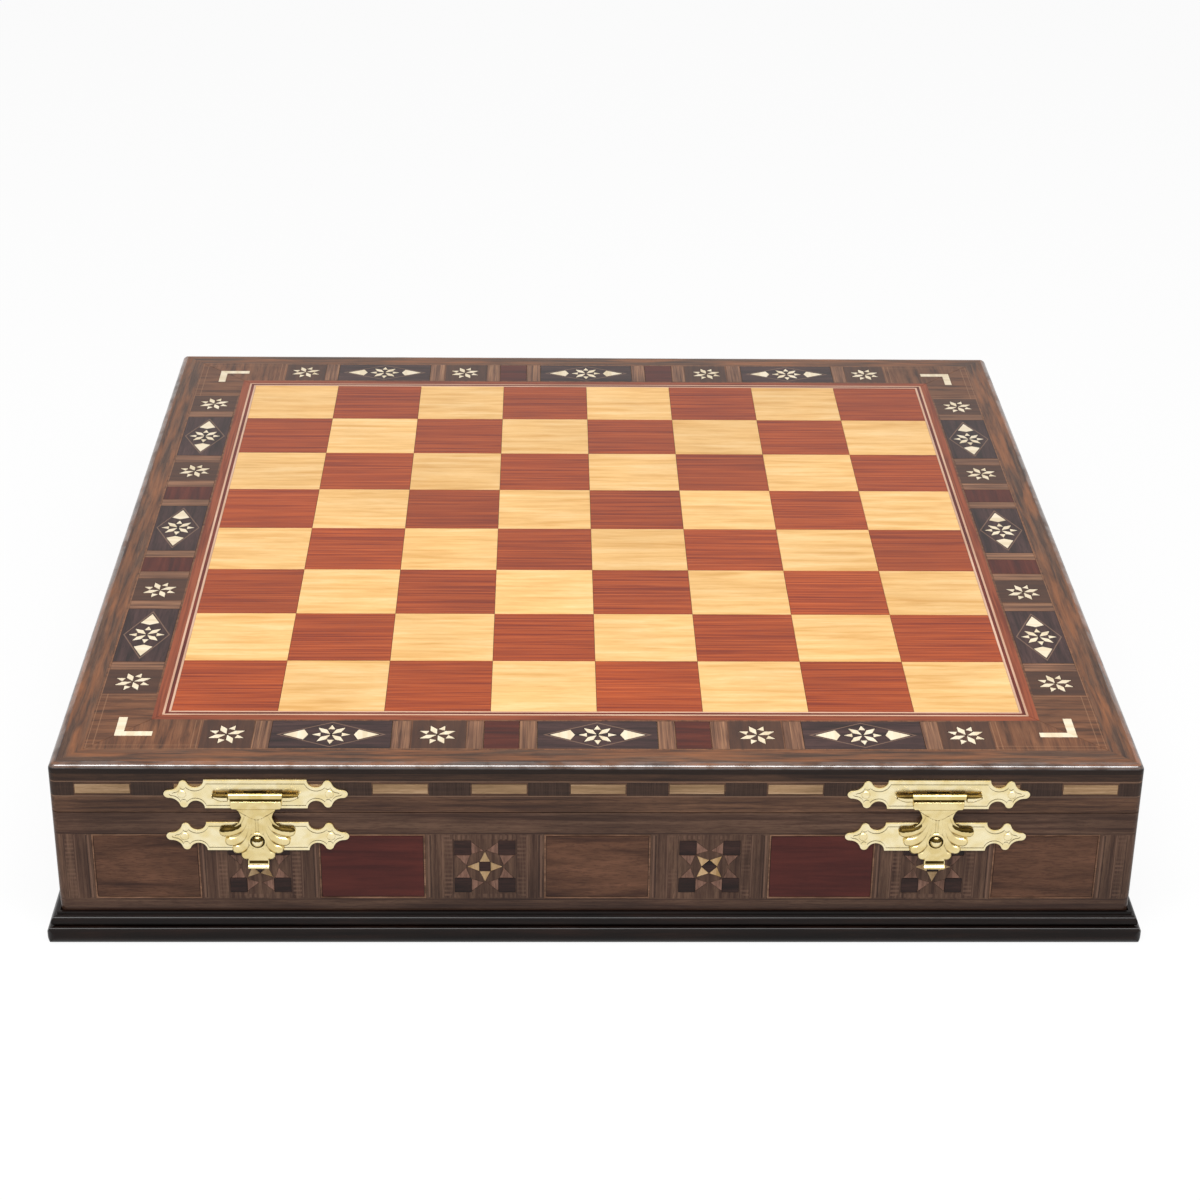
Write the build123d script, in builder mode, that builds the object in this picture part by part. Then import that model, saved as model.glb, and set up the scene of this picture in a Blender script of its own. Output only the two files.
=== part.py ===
"""Chess box with a hinged lid: a marquetry playing board on a walnut box, closed by two brass clasps.

Frame: millimetres, +Z up, origin on the floor under the middle of the box.
The clasps are on the front (-Y) and the hinges on the back (+Y). The lid is shown closed.
"""
from build123d import *
from math import cos, pi, radians, sin, tan
import os

# ---------------------------------------------------------------- overall sizes
square = 37.0                # side of one playing square
squares_per_side = 8
border = 37.0                # width of the border round the playing field
body_height = 50.5           # floor to the seam
lid_height = 18.5            # seam to the playing surface

# ---------------------------------------------------------------- box body
wall_thickness = 12.0
corner_radius = 2.5          # vertical outer corners of body and lid
seam_gap = 0.3               # the thin dark line between lid and body
bottom_thickness = 5.0
lining_thickness = 1.2
moulding_height = 11.0
moulding_projection = 4.8
moulding_foot = 1.4          # how far the rounded foot draws in at the floor
moulding_corner_radius = 3.5
bullnose_height = 5.8        # lower round of the moulding
bead_height = 9.5            # top of the round above it
bead_projection = 3.0
moulding_step = 0.3          # small fall at each edge between the rounds
fillet_projection = 1.0      # flat strip at the top of the moulding

# ---------------------------------------------------------------- dividers
cross_divider_count = 7      # run front to back
long_divider_count = 3       # run left to right
divider_thickness = 3.0
divider_height = 36.0
lap_clearance = 0.1

# ---------------------------------------------------------------- lid
rail_width = 10.5
lid_arris_radius = corner_radius   # so the lid's corners end in a round ball corner
panel_thickness = 8.0
veneer = 0.8                 # thickness of every veneer and inlay
glue_line = 0.1              # dark joint round each inlay
joint = 0.15                 # dark joint between playing squares
light_string = 0.8
red_string = 1.2
edge_band = 3.2              # reddish band just outside the stringing
band_margin = 0.75           # bare ground on both sides of the border panels
lozenge_line = 0.45
lozenge_line_depth = 0.4
star_gap = 0.18              # bare line between neighbouring chips
kite_from_star = 0.75        # star tip to the kite's blunt end
kite_shoulder_run = 1.6      # blunt end to the kite's widest line
kite_from_panel_end = 4.1    # kite's point to the end of its panel
lozenge_from_panel_end = 2.5
corner_leg = 13.0
corner_leg_width = 3.2
corner_from_edge = 19.6      # lid edge to the outer side of the corner piece

# the border pattern keeps step with the playing squares
plain_star_places = (1.484 * square, 3.432 * square)
lozenge_place = 2.468 * square
lozenge_panel_length = 1.119 * square
maroon_length = 0.330 * square
strip_lengths = (0.165 * square, 0.162 * square, 0.178 * square, 0.162 * square)

# bars let into the lid's edge
bar_length = 0.505 * square
bar_height = 3.8
bar_pitch = 0.903 * square
bars_each_way = 5

# ---------------------------------------------------------------- wall marquetry
wall_pitch = 1.0405 * square   # step between wall motifs
wall_panel_length = 0.9865 * square
wall_panel_height = 26.0
wall_panel_margin = 4.8      # moulding to the panel's lower edge
frame_line = 0.7
mosaic_size = 21.0
mosaic_corner = 5.9          # side of the dark corner squares
mosaic_centre = 1.9          # half side of the dark centre square
mosaic_point = 6.2           # mosaic centre to an ivory point
mosaic_edge_gap = 0.5        # triangle to the mosaic's edge
mosaic_chip_gap = 0.4        # triangle to its neighbours
mosaic_point_gap = 0.2       # triangle to the ivory point

# ---------------------------------------------------------------- clasps
clasp_place = 3 * wall_pitch   # over the outer mosaics
plate_half_height = 5.6
plate_straight = 17.3        # half of the straight edge
notch_radius = 3.0
plate_tip = 31.0            # clasp centre line to the plate's point
plate_tip_half = 1.5
plate_tip_length = 1.8       # rounded end
lobe_half_height = 5.3       # round of the plate at the nail
lobe_edge_half = 4.3
lobe_half_length = 1.9
waist_half = 2.3             # narrow place between the nail and the point
waist_from_nail = 2.1
plate_thickness = 0.8
upper_plate_drop = 10.9      # playing surface to the plate's centre line
lower_plate_drop = 9.1       # seam to the plate's centre line
nail_place = 24.8            # clasp centre line to a nail
nail_head_radius = 1.5
nail_head_height = 0.7
nail_head_taper = 40.0
nail_radius = 0.6
nail_length = 8.0
hasp_pin_radius = 0.8
running_clearance = 0.05     # radial, pins in moving knuckles
hasp_barrel_radius = 1.7
hasp_barrel_half = 9.0
eye_radius = 1.9
eye_length = 5.2
eye_gap = 0.3
hasp_sheet = 0.8
hasp_stand_off = 0.3         # plate to the back of the hasp
hasp_clearance = 0.3         # hasp barrel in the plate's slot and in front of the lid
apron_drop = 3.8             # hasp pin to the end of the apron's straight sides
apron_bend = (6.5, 5.6)      # (aside, below the pin), as all places of the outline
hasp_neck = (5.3, 8.6)
shoulder_bend = (6.8, 11.4)
shoulder = (10.4, 12.9)
fan_end_drop = 24.4
stud_drop = 17.7             # hasp pin to the ball stud
ball_radius = 2.1
ball_clearance = 0.2
stud_shank_radius = 1.2
stud_length = 4.0
flute_tips = ((11.2, 14.4), (9.4, 18.1), (7.1, 21.2), (4.2, 23.6))     # (aside, below the pin)
flute_tip_radius = 1.8
flute_end_radius = 1.7       # the horn just inside its round tip
flute_root_radius = 0.7
flute_root_share = 0.3       # how far aside the root is, of the tip's distance
flute_root_drop = 11.0
tab_half_width = 3.6
tab_waist_half = 2.5
tab_start_drop = 23.0
tab_flare_drop = 25.4
tab_end_drop = 28.3
lip_rise = 1.6

# ---------------------------------------------------------------- back hinges
open_angle = 105.0           # the back bevels meet here and stop the lid
stop_clearance = 0.5         # degrees left between the bevels at the stop
hinge_place = 110.0
hinge_length = 32.0
hinge_inset = 2.0            # back face to the pin's axis
hinge_barrel_radius = 2.5
hinge_barrel_clearance = 0.3
hinge_leaf_width = 8.0
hinge_leaf_thickness = 1.2
hinge_pin_radius = 1.1
knuckles = 5
knuckle_gap = 0.15
screw_from_pin = 5.2
screw_spacing = 18.0
screw_radius = 1.1
screw_head_radius = 1.8
screw_length = 8.0

# ---------------------------------------------------------------- derived places
field = squares_per_side * square
side = field + 2 * border
half = side / 2
total_height = body_height + lid_height
rim_z = body_height - seam_gap / 2
lid_rim_z = body_height + seam_gap / 2
inner_half = half - wall_thickness
lid_inner_half = half - rail_width
veneer_z = total_height - veneer
panel_z = veneer_z - panel_thickness
lining_top_z = bottom_thickness + lining_thickness
string_1 = field / 2 + light_string
string_2 = string_1 + red_string
string_3 = string_2 + light_string
ground_start = string_3 + edge_band
ground_end = half - rail_width
motif_y = -(ground_start + ground_end) / 2
motif_band = ground_end - ground_start - 2 * band_margin
star_side = 0.198 * motif_band                # side of one 45 degree rhomb
kite_end = 2 * star_side * cos(pi / 8) + kite_from_star
kite_shoulder = kite_end + kite_shoulder_run
kite_tip = lozenge_panel_length / 2 - kite_from_panel_end
kite_half_width = 0.184 * motif_band
lozenge_half = (lozenge_panel_length / 2 - lozenge_from_panel_end, 0.437 * motif_band)
strip_1, strip_2, strip_3, strip_4 = strip_lengths
maroon_place = lozenge_panel_length / 2 + strip_1 + maroon_length / 2
band_strips = (
    ((lozenge_panel_length + strip_1) / 2, strip_1),
    (maroon_place + (maroon_length + strip_2) / 2, strip_2),
    (lozenge_place - (lozenge_panel_length + strip_3) / 2, strip_3),
    (lozenge_place + (lozenge_panel_length + strip_4) / 2, strip_4),
)                                             # (place, length)
wall_panel_z = moulding_height + wall_panel_margin + wall_panel_height / 2
bar_z = total_height - lid_height / 2
upper_plate_z = total_height - upper_plate_drop
lower_plate_z = body_height - lower_plate_drop
stud_z = upper_plate_z - stud_drop
hasp_pin_offset = hasp_barrel_radius + hasp_clearance   # lid face to the pin's axis
pin_y = half - hinge_inset
bevel = radians((open_angle + stop_clearance) / 2)

SIDES = {"front": 0, "right": 90, "back": 180, "left": 270}
HANDS = {"left": -1, "right": 1}

os.makedirs("parts", exist_ok=True)


def finish(builder, name):
    """Label a finished piece and write it under its own name."""
    builder.part.label = name
    export_step(builder.part, f"parts/{name}.step")


def wall_plane(angle, z):
    """Plane on the outer face of one side: x along it, y up, normal outwards."""
    a = radians(angle)
    outward = Vector(sin(a), -cos(a), 0)
    return Plane(origin=outward * half + Vector(0, 0, z), x_dir=(cos(a), sin(a), 0), z_dir=outward)


def front_plane(x, z, offset=0.0):
    """Plane parallel to the front face, `offset` in front of it."""
    return Plane(origin=(x, -half - offset, z), x_dir=(1, 0, 0), z_dir=(0, -1, 0))


def mitred_strip(outer, inner, gap=0.0):
    """Front strip of a square frame, its ends cut at 45 degrees. Needs an open sketch."""
    Polygon((gap - outer, -outer), (outer - gap, -outer), (inner - gap, -inner), (gap - inner, -inner),
            align=None)


def mitred_frame(outer, inner, gap):
    """All four strips of a square frame. Needs an open sketch."""
    with PolarLocations(0, 4):
        mitred_strip(outer, inner, gap)


# ---------------------------------------------------------------- motifs, each drawn in an open sketch
def star(turn, mode=Mode.ADD):
    """Eight-point star: four whole rhombs, and between them four outer halves of rhombs."""
    reach = star_side * cos(pi / 8)
    rise = star_side * sin(pi / 8)
    with PolarLocations(0, 4, start_angle=turn):
        Polygon((0, 0), (reach, -rise), (2 * reach, 0), (reach, rise), align=None, mode=mode)
    with PolarLocations(0, 4, start_angle=turn + 45):
        Polygon((reach, -rise), (2 * reach, 0), (reach, rise), align=None, mode=mode)


def kites(mode=Mode.ADD):
    """The two kites that point away from a panel's star."""
    with PolarLocations(0, 2):
        Polygon((kite_tip, 0), (kite_shoulder, kite_half_width), (kite_end, 0),
                (kite_shoulder, -kite_half_width), align=None, mode=mode)


def corner_piece(mode=Mode.ADD):
    """The L in the front left corner of the border, as two mitred legs."""
    start = corner_from_edge - half
    end = start + corner_leg
    inner = start + corner_leg_width
    Polygon((start, start), (end, start), (end, inner), (inner, inner), align=None, mode=mode)
    Polygon((start, start), (inner, inner), (inner, end), (start, end), align=None, mode=mode)


def plain_star_locations():
    """Places of the stars that stand straight in the border."""
    return Locations(*[(hand * place, motif_y) for hand in (-1, 1) for place in plain_star_places])


def lozenge_locations():
    """Places of the lozenge panels."""
    return Locations(*[(hand * lozenge_place, motif_y) for hand in (-1, 0, 1)])


def maroon_locations():
    """Places of the small maroon panels."""
    return Locations(*[(hand * maroon_place, motif_y) for hand in (-1, 1)])


def band_pieces(mode=Mode.ADD):
    """Cross-grained strips between the border motifs."""
    for place, length in band_strips:
        with Locations((-place, motif_y), (place, motif_y)):
            Rectangle(length, motif_band, mode=mode)


def mosaic_triangles(mode=Mode.ADD):
    """Eight tan triangles between the corner squares of one mosaic."""
    edge = mosaic_size / 2 - mosaic_corner
    for flip in (-1, 1):
        with PolarLocations(0, 4):
            Polygon((flip * edge, mosaic_size / 2 - mosaic_edge_gap), (flip * edge, edge + mosaic_chip_gap),
                    (flip * mosaic_chip_gap, mosaic_point + mosaic_point_gap), align=None, mode=mode)


def mosaic_points(turned, mode=Mode.ADD):
    """Four ivory points round the centre, on the sides or on the diagonals."""
    start = 45 if turned else 0
    with PolarLocations(0, 4, start_angle=start):
        Polygon((mosaic_centre, -mosaic_centre), (mosaic_point, 0), (mosaic_centre, mosaic_centre),
                align=None, mode=mode)


def mosaic_squares(turned, mode=Mode.ADD):
    """Four dark corner squares and the dark centre."""
    place = (mosaic_size - mosaic_corner) / 2
    with GridLocations(2 * place, 2 * place, 2, 2):
        Rectangle(mosaic_corner, mosaic_corner, mode=mode)
    Rectangle(2 * mosaic_centre, 2 * mosaic_centre, rotation=45 if turned else 0, mode=mode)


def mosaic_places():
    """(place along the wall, points on the diagonals) of every mosaic."""
    return [(-3 * wall_pitch, True), (-wall_pitch, False), (wall_pitch, True), (3 * wall_pitch, False)]


WALNUT_PLACES = [-4 * wall_pitch, 0, 4 * wall_pitch]
MAROON_PLACES = [-2 * wall_pitch, 2 * wall_pitch]


def wall_pockets():
    """Everything that is let into one wall, as one sketch outline."""
    for place in WALNUT_PLACES + MAROON_PLACES:
        with Locations((place, 0)):
            Rectangle(wall_panel_length, wall_panel_height)
    for place, turned in mosaic_places():
        with Locations((place, 0)):
            mosaic_squares(turned)
            mosaic_triangles()
            mosaic_points(turned)


# ---------------------------------------------------------------- shared cutting shapes
def back_bevel(z_sign):
    """Prism beyond the bevel that stops the lid: above it for the body, below it for the lid."""
    reach = 3 * hinge_inset
    with BuildSketch(Plane.YZ.offset(-side)) as wedge:
        with Locations((pin_y, body_height)):
            Polygon((0, 0), (reach, -z_sign * reach * tan(bevel)), (reach, z_sign), (0, z_sign), align=None)
    extrude(wedge.sketch, amount=2 * side, mode=Mode.SUBTRACT)


def hinge_plane(x):
    """Plane square to the hinge pin, at x."""
    return Plane(origin=(x, pin_y, body_height), x_dir=(0, 1, 0), z_dir=(1, 0, 0))


def hinge_cylinder(x_from, x_to, radius, mode):
    """Cylinder on the hinge axis."""
    with BuildSketch(hinge_plane(x_from)) as section:
        Circle(radius)
    extrude(section.sketch, amount=x_to - x_from, mode=mode)


def hinge_recess(z_sign):
    """Barrel clearance, leaf mortise and screw holes in a back member."""
    for hand in HANDS.values():
        centre = hand * hinge_place
        start = centre - hinge_length / 2
        hinge_cylinder(start - hinge_barrel_clearance, start + hinge_length + hinge_barrel_clearance,
                       hinge_barrel_radius + hinge_barrel_clearance, Mode.SUBTRACT)
        leaf_face = body_height + z_sign * seam_gap / 2
        with BuildSketch(Plane.XY.offset(leaf_face)) as mortise:
            with Locations((centre, pin_y - hinge_leaf_width / 2)):
                Rectangle(hinge_length, hinge_leaf_width)
        extrude(mortise.sketch, amount=z_sign * hinge_leaf_thickness, mode=Mode.SUBTRACT)
        with BuildSketch(Plane.XY.offset(leaf_face)) as holes:
            with Locations((centre, pin_y - screw_from_pin)):
                with GridLocations(screw_spacing, 0, 2, 1):
                    Circle(screw_radius)
        extrude(holes.sketch, amount=z_sign * screw_length, mode=Mode.SUBTRACT)


def nail_holes(plate_z, depth):
    """Pilot holes for the nails of both clasp plates at one height."""
    for hand in HANDS.values():
        with BuildSketch(front_plane(hand * clasp_place, plate_z)) as holes:
            with Locations((-nail_place, 0), (nail_place, 0)):
                Circle(nail_radius)
        extrude(holes.sketch, amount=-depth, mode=Mode.SUBTRACT)


nail_depth = nail_length - plate_thickness
stud_depth = stud_length - plate_thickness


# ---------------------------------------------------------------- box walls
def build_wall(name, angle):
    """One mitred wall with its marquetry pockets."""
    with BuildPart() as wall:
        with BuildSketch():
            with Locations(Location((0, 0, 0), (0, 0, angle))):
                mitred_strip(half, inner_half)
        extrude(amount=rim_z)
        with BuildSketch():
            RectangleRounded(side, side, corner_radius)
        extrude(amount=rim_z, mode=Mode.INTERSECT)
        with BuildSketch(wall_plane(angle, wall_panel_z)):
            wall_pockets()
        extrude(amount=-veneer, mode=Mode.SUBTRACT)
        back_bevel(1)
        if name == "back":
            hinge_recess(-1)
        if name == "front":
            nail_holes(lower_plate_z, nail_depth)
            for hand in HANDS.values():
                with BuildSketch(front_plane(hand * clasp_place, stud_z)):
                    Circle(stud_shank_radius)
                extrude(amount=-stud_depth, mode=Mode.SUBTRACT)
    finish(wall, f"wall_{name}")


for side_name, side_angle in SIDES.items():
    build_wall(side_name, side_angle)

with BuildPart() as bottom_panel:
    with BuildSketch():
        Rectangle(2 * inner_half, 2 * inner_half)
    extrude(amount=bottom_thickness)
finish(bottom_panel, "bottom_panel")

with BuildPart() as floor_lining:
    with BuildSketch(Plane.XY.offset(bottom_thickness)):
        Rectangle(2 * inner_half, 2 * inner_half)
    extrude(amount=lining_thickness)
finish(floor_lining, "floor_lining")


# ---------------------------------------------------------------- base moulding
def moulding_profile():
    """Section of the moulding: x away from the wall, y up. Needs an open sketch."""
    out = moulding_projection
    foot = out - moulding_foot
    neck = out - 2 * moulding_foot
    with BuildLine() as outline:
        Line((0, 0), (foot, 0))
        ThreePointArc((foot, 0), (out, bullnose_height / 2), (foot, bullnose_height))
        Line((foot, bullnose_height), (neck, bullnose_height + moulding_step))
        ThreePointArc((neck, bullnose_height + moulding_step),
                      (bead_projection, (bullnose_height + moulding_step + bead_height) / 2), (neck, bead_height))
        Line((neck, bead_height), (fillet_projection, bead_height + moulding_step))
        Line((fillet_projection, bead_height + moulding_step), (fillet_projection, moulding_height))
        Line((fillet_projection, moulding_height), (0, moulding_height))
        Line((0, moulding_height), (0, 0))
    make_face(outline.edges())


def build_moulding(name, angle):
    """One mitred length of moulding, its outer corners eased."""
    outer = half + moulding_projection
    a = radians(angle)
    outward = Vector(sin(a), -cos(a), 0)
    section = Plane(origin=outward * half, x_dir=outward, z_dir=(-cos(a), -sin(a), 0))
    with BuildPart() as moulding:
        with BuildSketch(section):
            moulding_profile()
        extrude(amount=outer, both=True)
        with BuildSketch():
            with Locations(Location((0, 0, 0), (0, 0, angle))):
                mitred_strip(outer + moulding_corner_radius, inner_half)
        extrude(amount=moulding_height, mode=Mode.INTERSECT)
        with BuildSketch():
            RectangleRounded(2 * outer, 2 * outer, moulding_corner_radius)
        extrude(amount=moulding_height, mode=Mode.INTERSECT)
    finish(moulding, f"base_moulding_{name}")


for side_name, side_angle in SIDES.items():
    build_moulding(side_name, side_angle)

# ---------------------------------------------------------------- dividers
cell_x = (2 * inner_half - cross_divider_count * divider_thickness) / (cross_divider_count + 1)
cell_y = (2 * inner_half - long_divider_count * divider_thickness) / (long_divider_count + 1)
cross_places = [(i - (cross_divider_count - 1) / 2) * (cell_x + divider_thickness)
                for i in range(cross_divider_count)]
long_places = [(i - (long_divider_count - 1) / 2) * (cell_y + divider_thickness)
               for i in range(long_divider_count)]
lap = divider_height / 2

for number, place in enumerate(cross_places, 1):
    with BuildPart() as cross_divider:
        with BuildSketch(Plane.XY.offset(lining_top_z)):
            with Locations((place, 0)):
                Rectangle(divider_thickness, 2 * inner_half)
        extrude(amount=divider_height)
        with BuildSketch(Plane.XY.offset(lining_top_z + divider_height)):
            with Locations(*[(place, y) for y in long_places]):
                Rectangle(2 * divider_thickness, divider_thickness + 2 * lap_clearance)
        extrude(amount=-lap, mode=Mode.SUBTRACT)
    finish(cross_divider, f"cross_divider_{number}")

for number, place in enumerate(long_places, 1):
    with BuildPart() as long_divider:
        with BuildSketch(Plane.XY.offset(lining_top_z)):
            with Locations((0, place)):
                Rectangle(2 * inner_half, divider_thickness)
        extrude(amount=divider_height)
        with BuildSketch(Plane.XY.offset(lining_top_z)):
            with Locations(*[(x, place) for x in cross_places]):
                Rectangle(divider_thickness + 2 * lap_clearance, 2 * divider_thickness)
        extrude(amount=divider_height - lap, mode=Mode.SUBTRACT)
    finish(long_divider, f"long_divider_{number}")


# ---------------------------------------------------------------- wall marquetry
def build_wall_inlay(name, draw):
    """The same inlay let into all four walls, flush with them."""
    with BuildPart() as inlay:
        for angle in SIDES.values():
            with BuildSketch(wall_plane(angle, wall_panel_z)):
                draw()
                offset(amount=-glue_line, kind=Kind.INTERSECTION)
            extrude(amount=-veneer)
        nail_holes(lower_plate_z, nail_depth)
    finish(inlay, name)


def panel_faces(places):
    """Panels inside their framing lines."""
    for place in places:
        with Locations((place, 0)):
            Rectangle(wall_panel_length - 2 * frame_line, wall_panel_height - 2 * frame_line)


def panel_frames():
    """Thin light lines round every wall panel."""
    for place in WALNUT_PLACES + MAROON_PLACES:
        with Locations((place, 0)):
            Rectangle(wall_panel_length, wall_panel_height)
            Rectangle(wall_panel_length - 2 * frame_line, wall_panel_height - 2 * frame_line,
                      mode=Mode.SUBTRACT)


def all_mosaics(draw):
    """Repeat one mosaic element at every mosaic of a wall."""
    for place, turned in mosaic_places():
        with Locations((place, 0)):
            draw(turned)


build_wall_inlay("wall_walnut_panels", lambda: panel_faces(WALNUT_PLACES))
build_wall_inlay("wall_maroon_panels", lambda: panel_faces(MAROON_PLACES))
build_wall_inlay("wall_frame_lines", panel_frames)
build_wall_inlay("mosaic_dark_squares", lambda: all_mosaics(mosaic_squares))
build_wall_inlay("mosaic_tan_triangles", lambda: all_mosaics(lambda turned: mosaic_triangles()))
build_wall_inlay("mosaic_ivory_points", lambda: all_mosaics(mosaic_points))

# ---------------------------------------------------------------- lid frame and panel
with BuildPart() as lid_envelope:
    with BuildSketch(Plane.XY.offset(lid_rim_z)):
        RectangleRounded(side, side, corner_radius)
    extrude(amount=total_height - lid_rim_z)
    fillet(lid_envelope.faces().sort_by(Axis.Z)[-1].edges(), radius=lid_arris_radius)


def bar_locations():
    """Places of the tan bars along one rail."""
    return Locations(*[(i * bar_pitch, 0) for i in range(-bars_each_way, bars_each_way + 1)])


def build_rail(name, angle):
    """One mitred lid rail with its bar pockets."""
    with BuildPart() as rail:
        with BuildSketch(Plane.XY.offset(body_height)):
            with Locations(Location((0, 0, 0), (0, 0, angle))):
                mitred_strip(half + lid_arris_radius, lid_inner_half)
        extrude(amount=lid_height + lid_arris_radius)
        add(lid_envelope.part, mode=Mode.INTERSECT)
        with BuildSketch(wall_plane(angle, bar_z)):
            with bar_locations():
                Rectangle(bar_length, bar_height)
        extrude(amount=-veneer, mode=Mode.SUBTRACT)
        back_bevel(-1)
        if name == "back":
            hinge_recess(1)
        if name == "front":
            nail_holes(upper_plate_z, nail_depth)
    finish(rail, f"lid_rail_{name}")


for side_name, side_angle in SIDES.items():
    build_rail(side_name, side_angle)

with BuildPart() as edge_bars:
    for side_angle in SIDES.values():
        with BuildSketch(wall_plane(side_angle, bar_z)):
            with bar_locations():
                Rectangle(bar_length - 2 * glue_line, bar_height - 2 * glue_line)
        extrude(amount=-veneer)
    nail_holes(upper_plate_z, nail_depth)
finish(edge_bars, "lid_edge_bars")

with BuildPart() as lid_panel:
    with BuildSketch(Plane.XY.offset(panel_z)):
        Rectangle(2 * lid_inner_half, 2 * lid_inner_half)
    extrude(amount=panel_thickness)
finish(lid_panel, "lid_panel")

with BuildPart() as lid_lining:
    with BuildSketch(Plane.XY.offset(panel_z)):
        Rectangle(2 * lid_inner_half, 2 * lid_inner_half)
    extrude(amount=-lining_thickness)
finish(lid_lining, "lid_lining")


# ---------------------------------------------------------------- playing field
def build_squares(name, parity):
    """Thirty-two playing squares of one colour. The front left square is dark."""
    first = (square - field) / 2
    with BuildPart() as squares:
        with BuildSketch(Plane.XY.offset(veneer_z)):
            with Locations(*[(first + i * square, first + j * square)
                             for i in range(squares_per_side) for j in range(squares_per_side)
                             if (i + j) % 2 == parity]):
                Rectangle(square - joint, square - joint)
        extrude(amount=veneer)
    finish(squares, name)


build_squares("dark_squares", 0)
build_squares("light_squares", 1)

with BuildPart() as stringing_red:
    with BuildSketch(Plane.XY.offset(veneer_z)):
        mitred_frame(string_2, string_1, glue_line)
    extrude(amount=veneer)
finish(stringing_red, "stringing_red")

# ---------------------------------------------------------------- border veneer and its inlays
lozenge_x, lozenge_y = lozenge_half


def lozenge(grow):
    """Lozenge outline, moved outwards by `grow`. Needs an open sketch location."""
    stretch = 1 + grow * (lozenge_x ** 2 + lozenge_y ** 2) ** 0.5 / (lozenge_x * lozenge_y)
    x = lozenge_x * stretch
    y = lozenge_y * stretch
    return (x, 0), (0, y), (-x, 0), (0, -y)


def lozenge_lines():
    """Thin lozenge line of every panel."""
    with lozenge_locations():
        Polygon(*lozenge(lozenge_line / 2), align=None)
        Polygon(*lozenge(-lozenge_line / 2), align=None, mode=Mode.SUBTRACT)


with BuildPart() as stringing_light:
    with BuildSketch(Plane.XY.offset(veneer_z)):
        mitred_frame(string_1, field / 2, glue_line)
        mitred_frame(string_3, string_2, glue_line)
    extrude(amount=veneer)
    with BuildSketch(Plane.XY.offset(total_height)):
        with PolarLocations(0, 4):
            lozenge_lines()
    extrude(amount=-lozenge_line_depth)
finish(stringing_light, "stringing_light")

with BuildPart() as border_veneer:
    with BuildSketch(Plane.XY.offset(veneer_z)):
        mitred_frame(lid_inner_half, string_3 + edge_band, glue_line)
        with PolarLocations(0, 4):
            with plain_star_locations():
                star(22.5, mode=Mode.SUBTRACT)
            with lozenge_locations():
                Rectangle(lozenge_panel_length, motif_band, mode=Mode.SUBTRACT)
            with maroon_locations():
                Rectangle(maroon_length, motif_band, mode=Mode.SUBTRACT)
            band_pieces(mode=Mode.SUBTRACT)
            corner_piece(mode=Mode.SUBTRACT)
    extrude(amount=veneer)
finish(border_veneer, "border_veneer")

with BuildPart() as banding:
    with BuildSketch(Plane.XY.offset(veneer_z)):
        with PolarLocations(0, 4):
            band_pieces()
        offset(amount=-glue_line, kind=Kind.INTERSECTION)
    extrude(amount=veneer)
    with BuildSketch(Plane.XY.offset(veneer_z)):
        mitred_frame(string_3 + edge_band, string_3, glue_line)
    extrude(amount=veneer)
finish(banding, "banding")

with BuildPart() as lozenge_panels:
    with BuildSketch(Plane.XY.offset(veneer_z)):
        with PolarLocations(0, 4):
            with lozenge_locations():
                Rectangle(lozenge_panel_length - 2 * glue_line, motif_band - 2 * glue_line)
                star(45, mode=Mode.SUBTRACT)
                kites(mode=Mode.SUBTRACT)
    extrude(amount=veneer)
    with BuildSketch(Plane.XY.offset(total_height)):
        with PolarLocations(0, 4):
            lozenge_lines()
    extrude(amount=-lozenge_line_depth, mode=Mode.SUBTRACT)
finish(lozenge_panels, "lozenge_panels")

with BuildPart() as maroon_panels:
    with BuildSketch(Plane.XY.offset(veneer_z)):
        with PolarLocations(0, 4):
            with maroon_locations():
                Rectangle(maroon_length - 2 * glue_line, motif_band - 2 * glue_line)
    extrude(amount=veneer)
finish(maroon_panels, "lid_maroon_panels")

with BuildPart() as star_inlays:
    with BuildSketch(Plane.XY.offset(veneer_z)):
        with PolarLocations(0, 4):
            with plain_star_locations():
                star(22.5)
            with lozenge_locations():
                star(45)
        offset(amount=-star_gap, kind=Kind.INTERSECTION)
    extrude(amount=veneer)
finish(star_inlays, "star_inlays")

with BuildPart() as kite_inlays:
    with BuildSketch(Plane.XY.offset(veneer_z)):
        with PolarLocations(0, 4):
            with lozenge_locations():
                kites()
            corner_piece()
        offset(amount=-glue_line, kind=Kind.INTERSECTION)
    extrude(amount=veneer)
finish(kite_inlays, "kite_and_corner_inlays")


# ---------------------------------------------------------------- clasps
def plate_outline():
    """Clasp plate: straight edges, a scallop, a lobe for the nail and a blunt point. Needs a sketch."""
    shoulder = (plate_straight, plate_half_height)
    notch_bottom = (plate_straight + notch_radius, plate_half_height - notch_radius)
    lobe_start = (nail_place - lobe_half_length, lobe_edge_half)
    lobe_top = (nail_place - lobe_half_length / 4, lobe_half_height)
    lobe_end = (nail_place + lobe_half_length / 2, lobe_edge_half)
    waist = (nail_place + waist_from_nail, waist_half)
    point_start = (plate_tip - plate_tip_length, plate_tip_half)
    with BuildLine() as outline:
        Line((0, plate_half_height), shoulder)
        ThreePointArc(shoulder, notch_bottom, lobe_start)
        ThreePointArc(lobe_start, lobe_top, lobe_end)
        ThreePointArc(lobe_end, waist, point_start)
        ThreePointArc(point_start, (plate_tip - plate_tip_length / 4, 0.7 * plate_tip_half), (plate_tip, 0))
        mirror(about=Plane.YZ)
        mirror(about=Plane.XZ)
    make_face(outline.edges())


def nail_spots():
    """Places of a plate's two nails."""
    return Locations((-nail_place, 0), (nail_place, 0))


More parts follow.
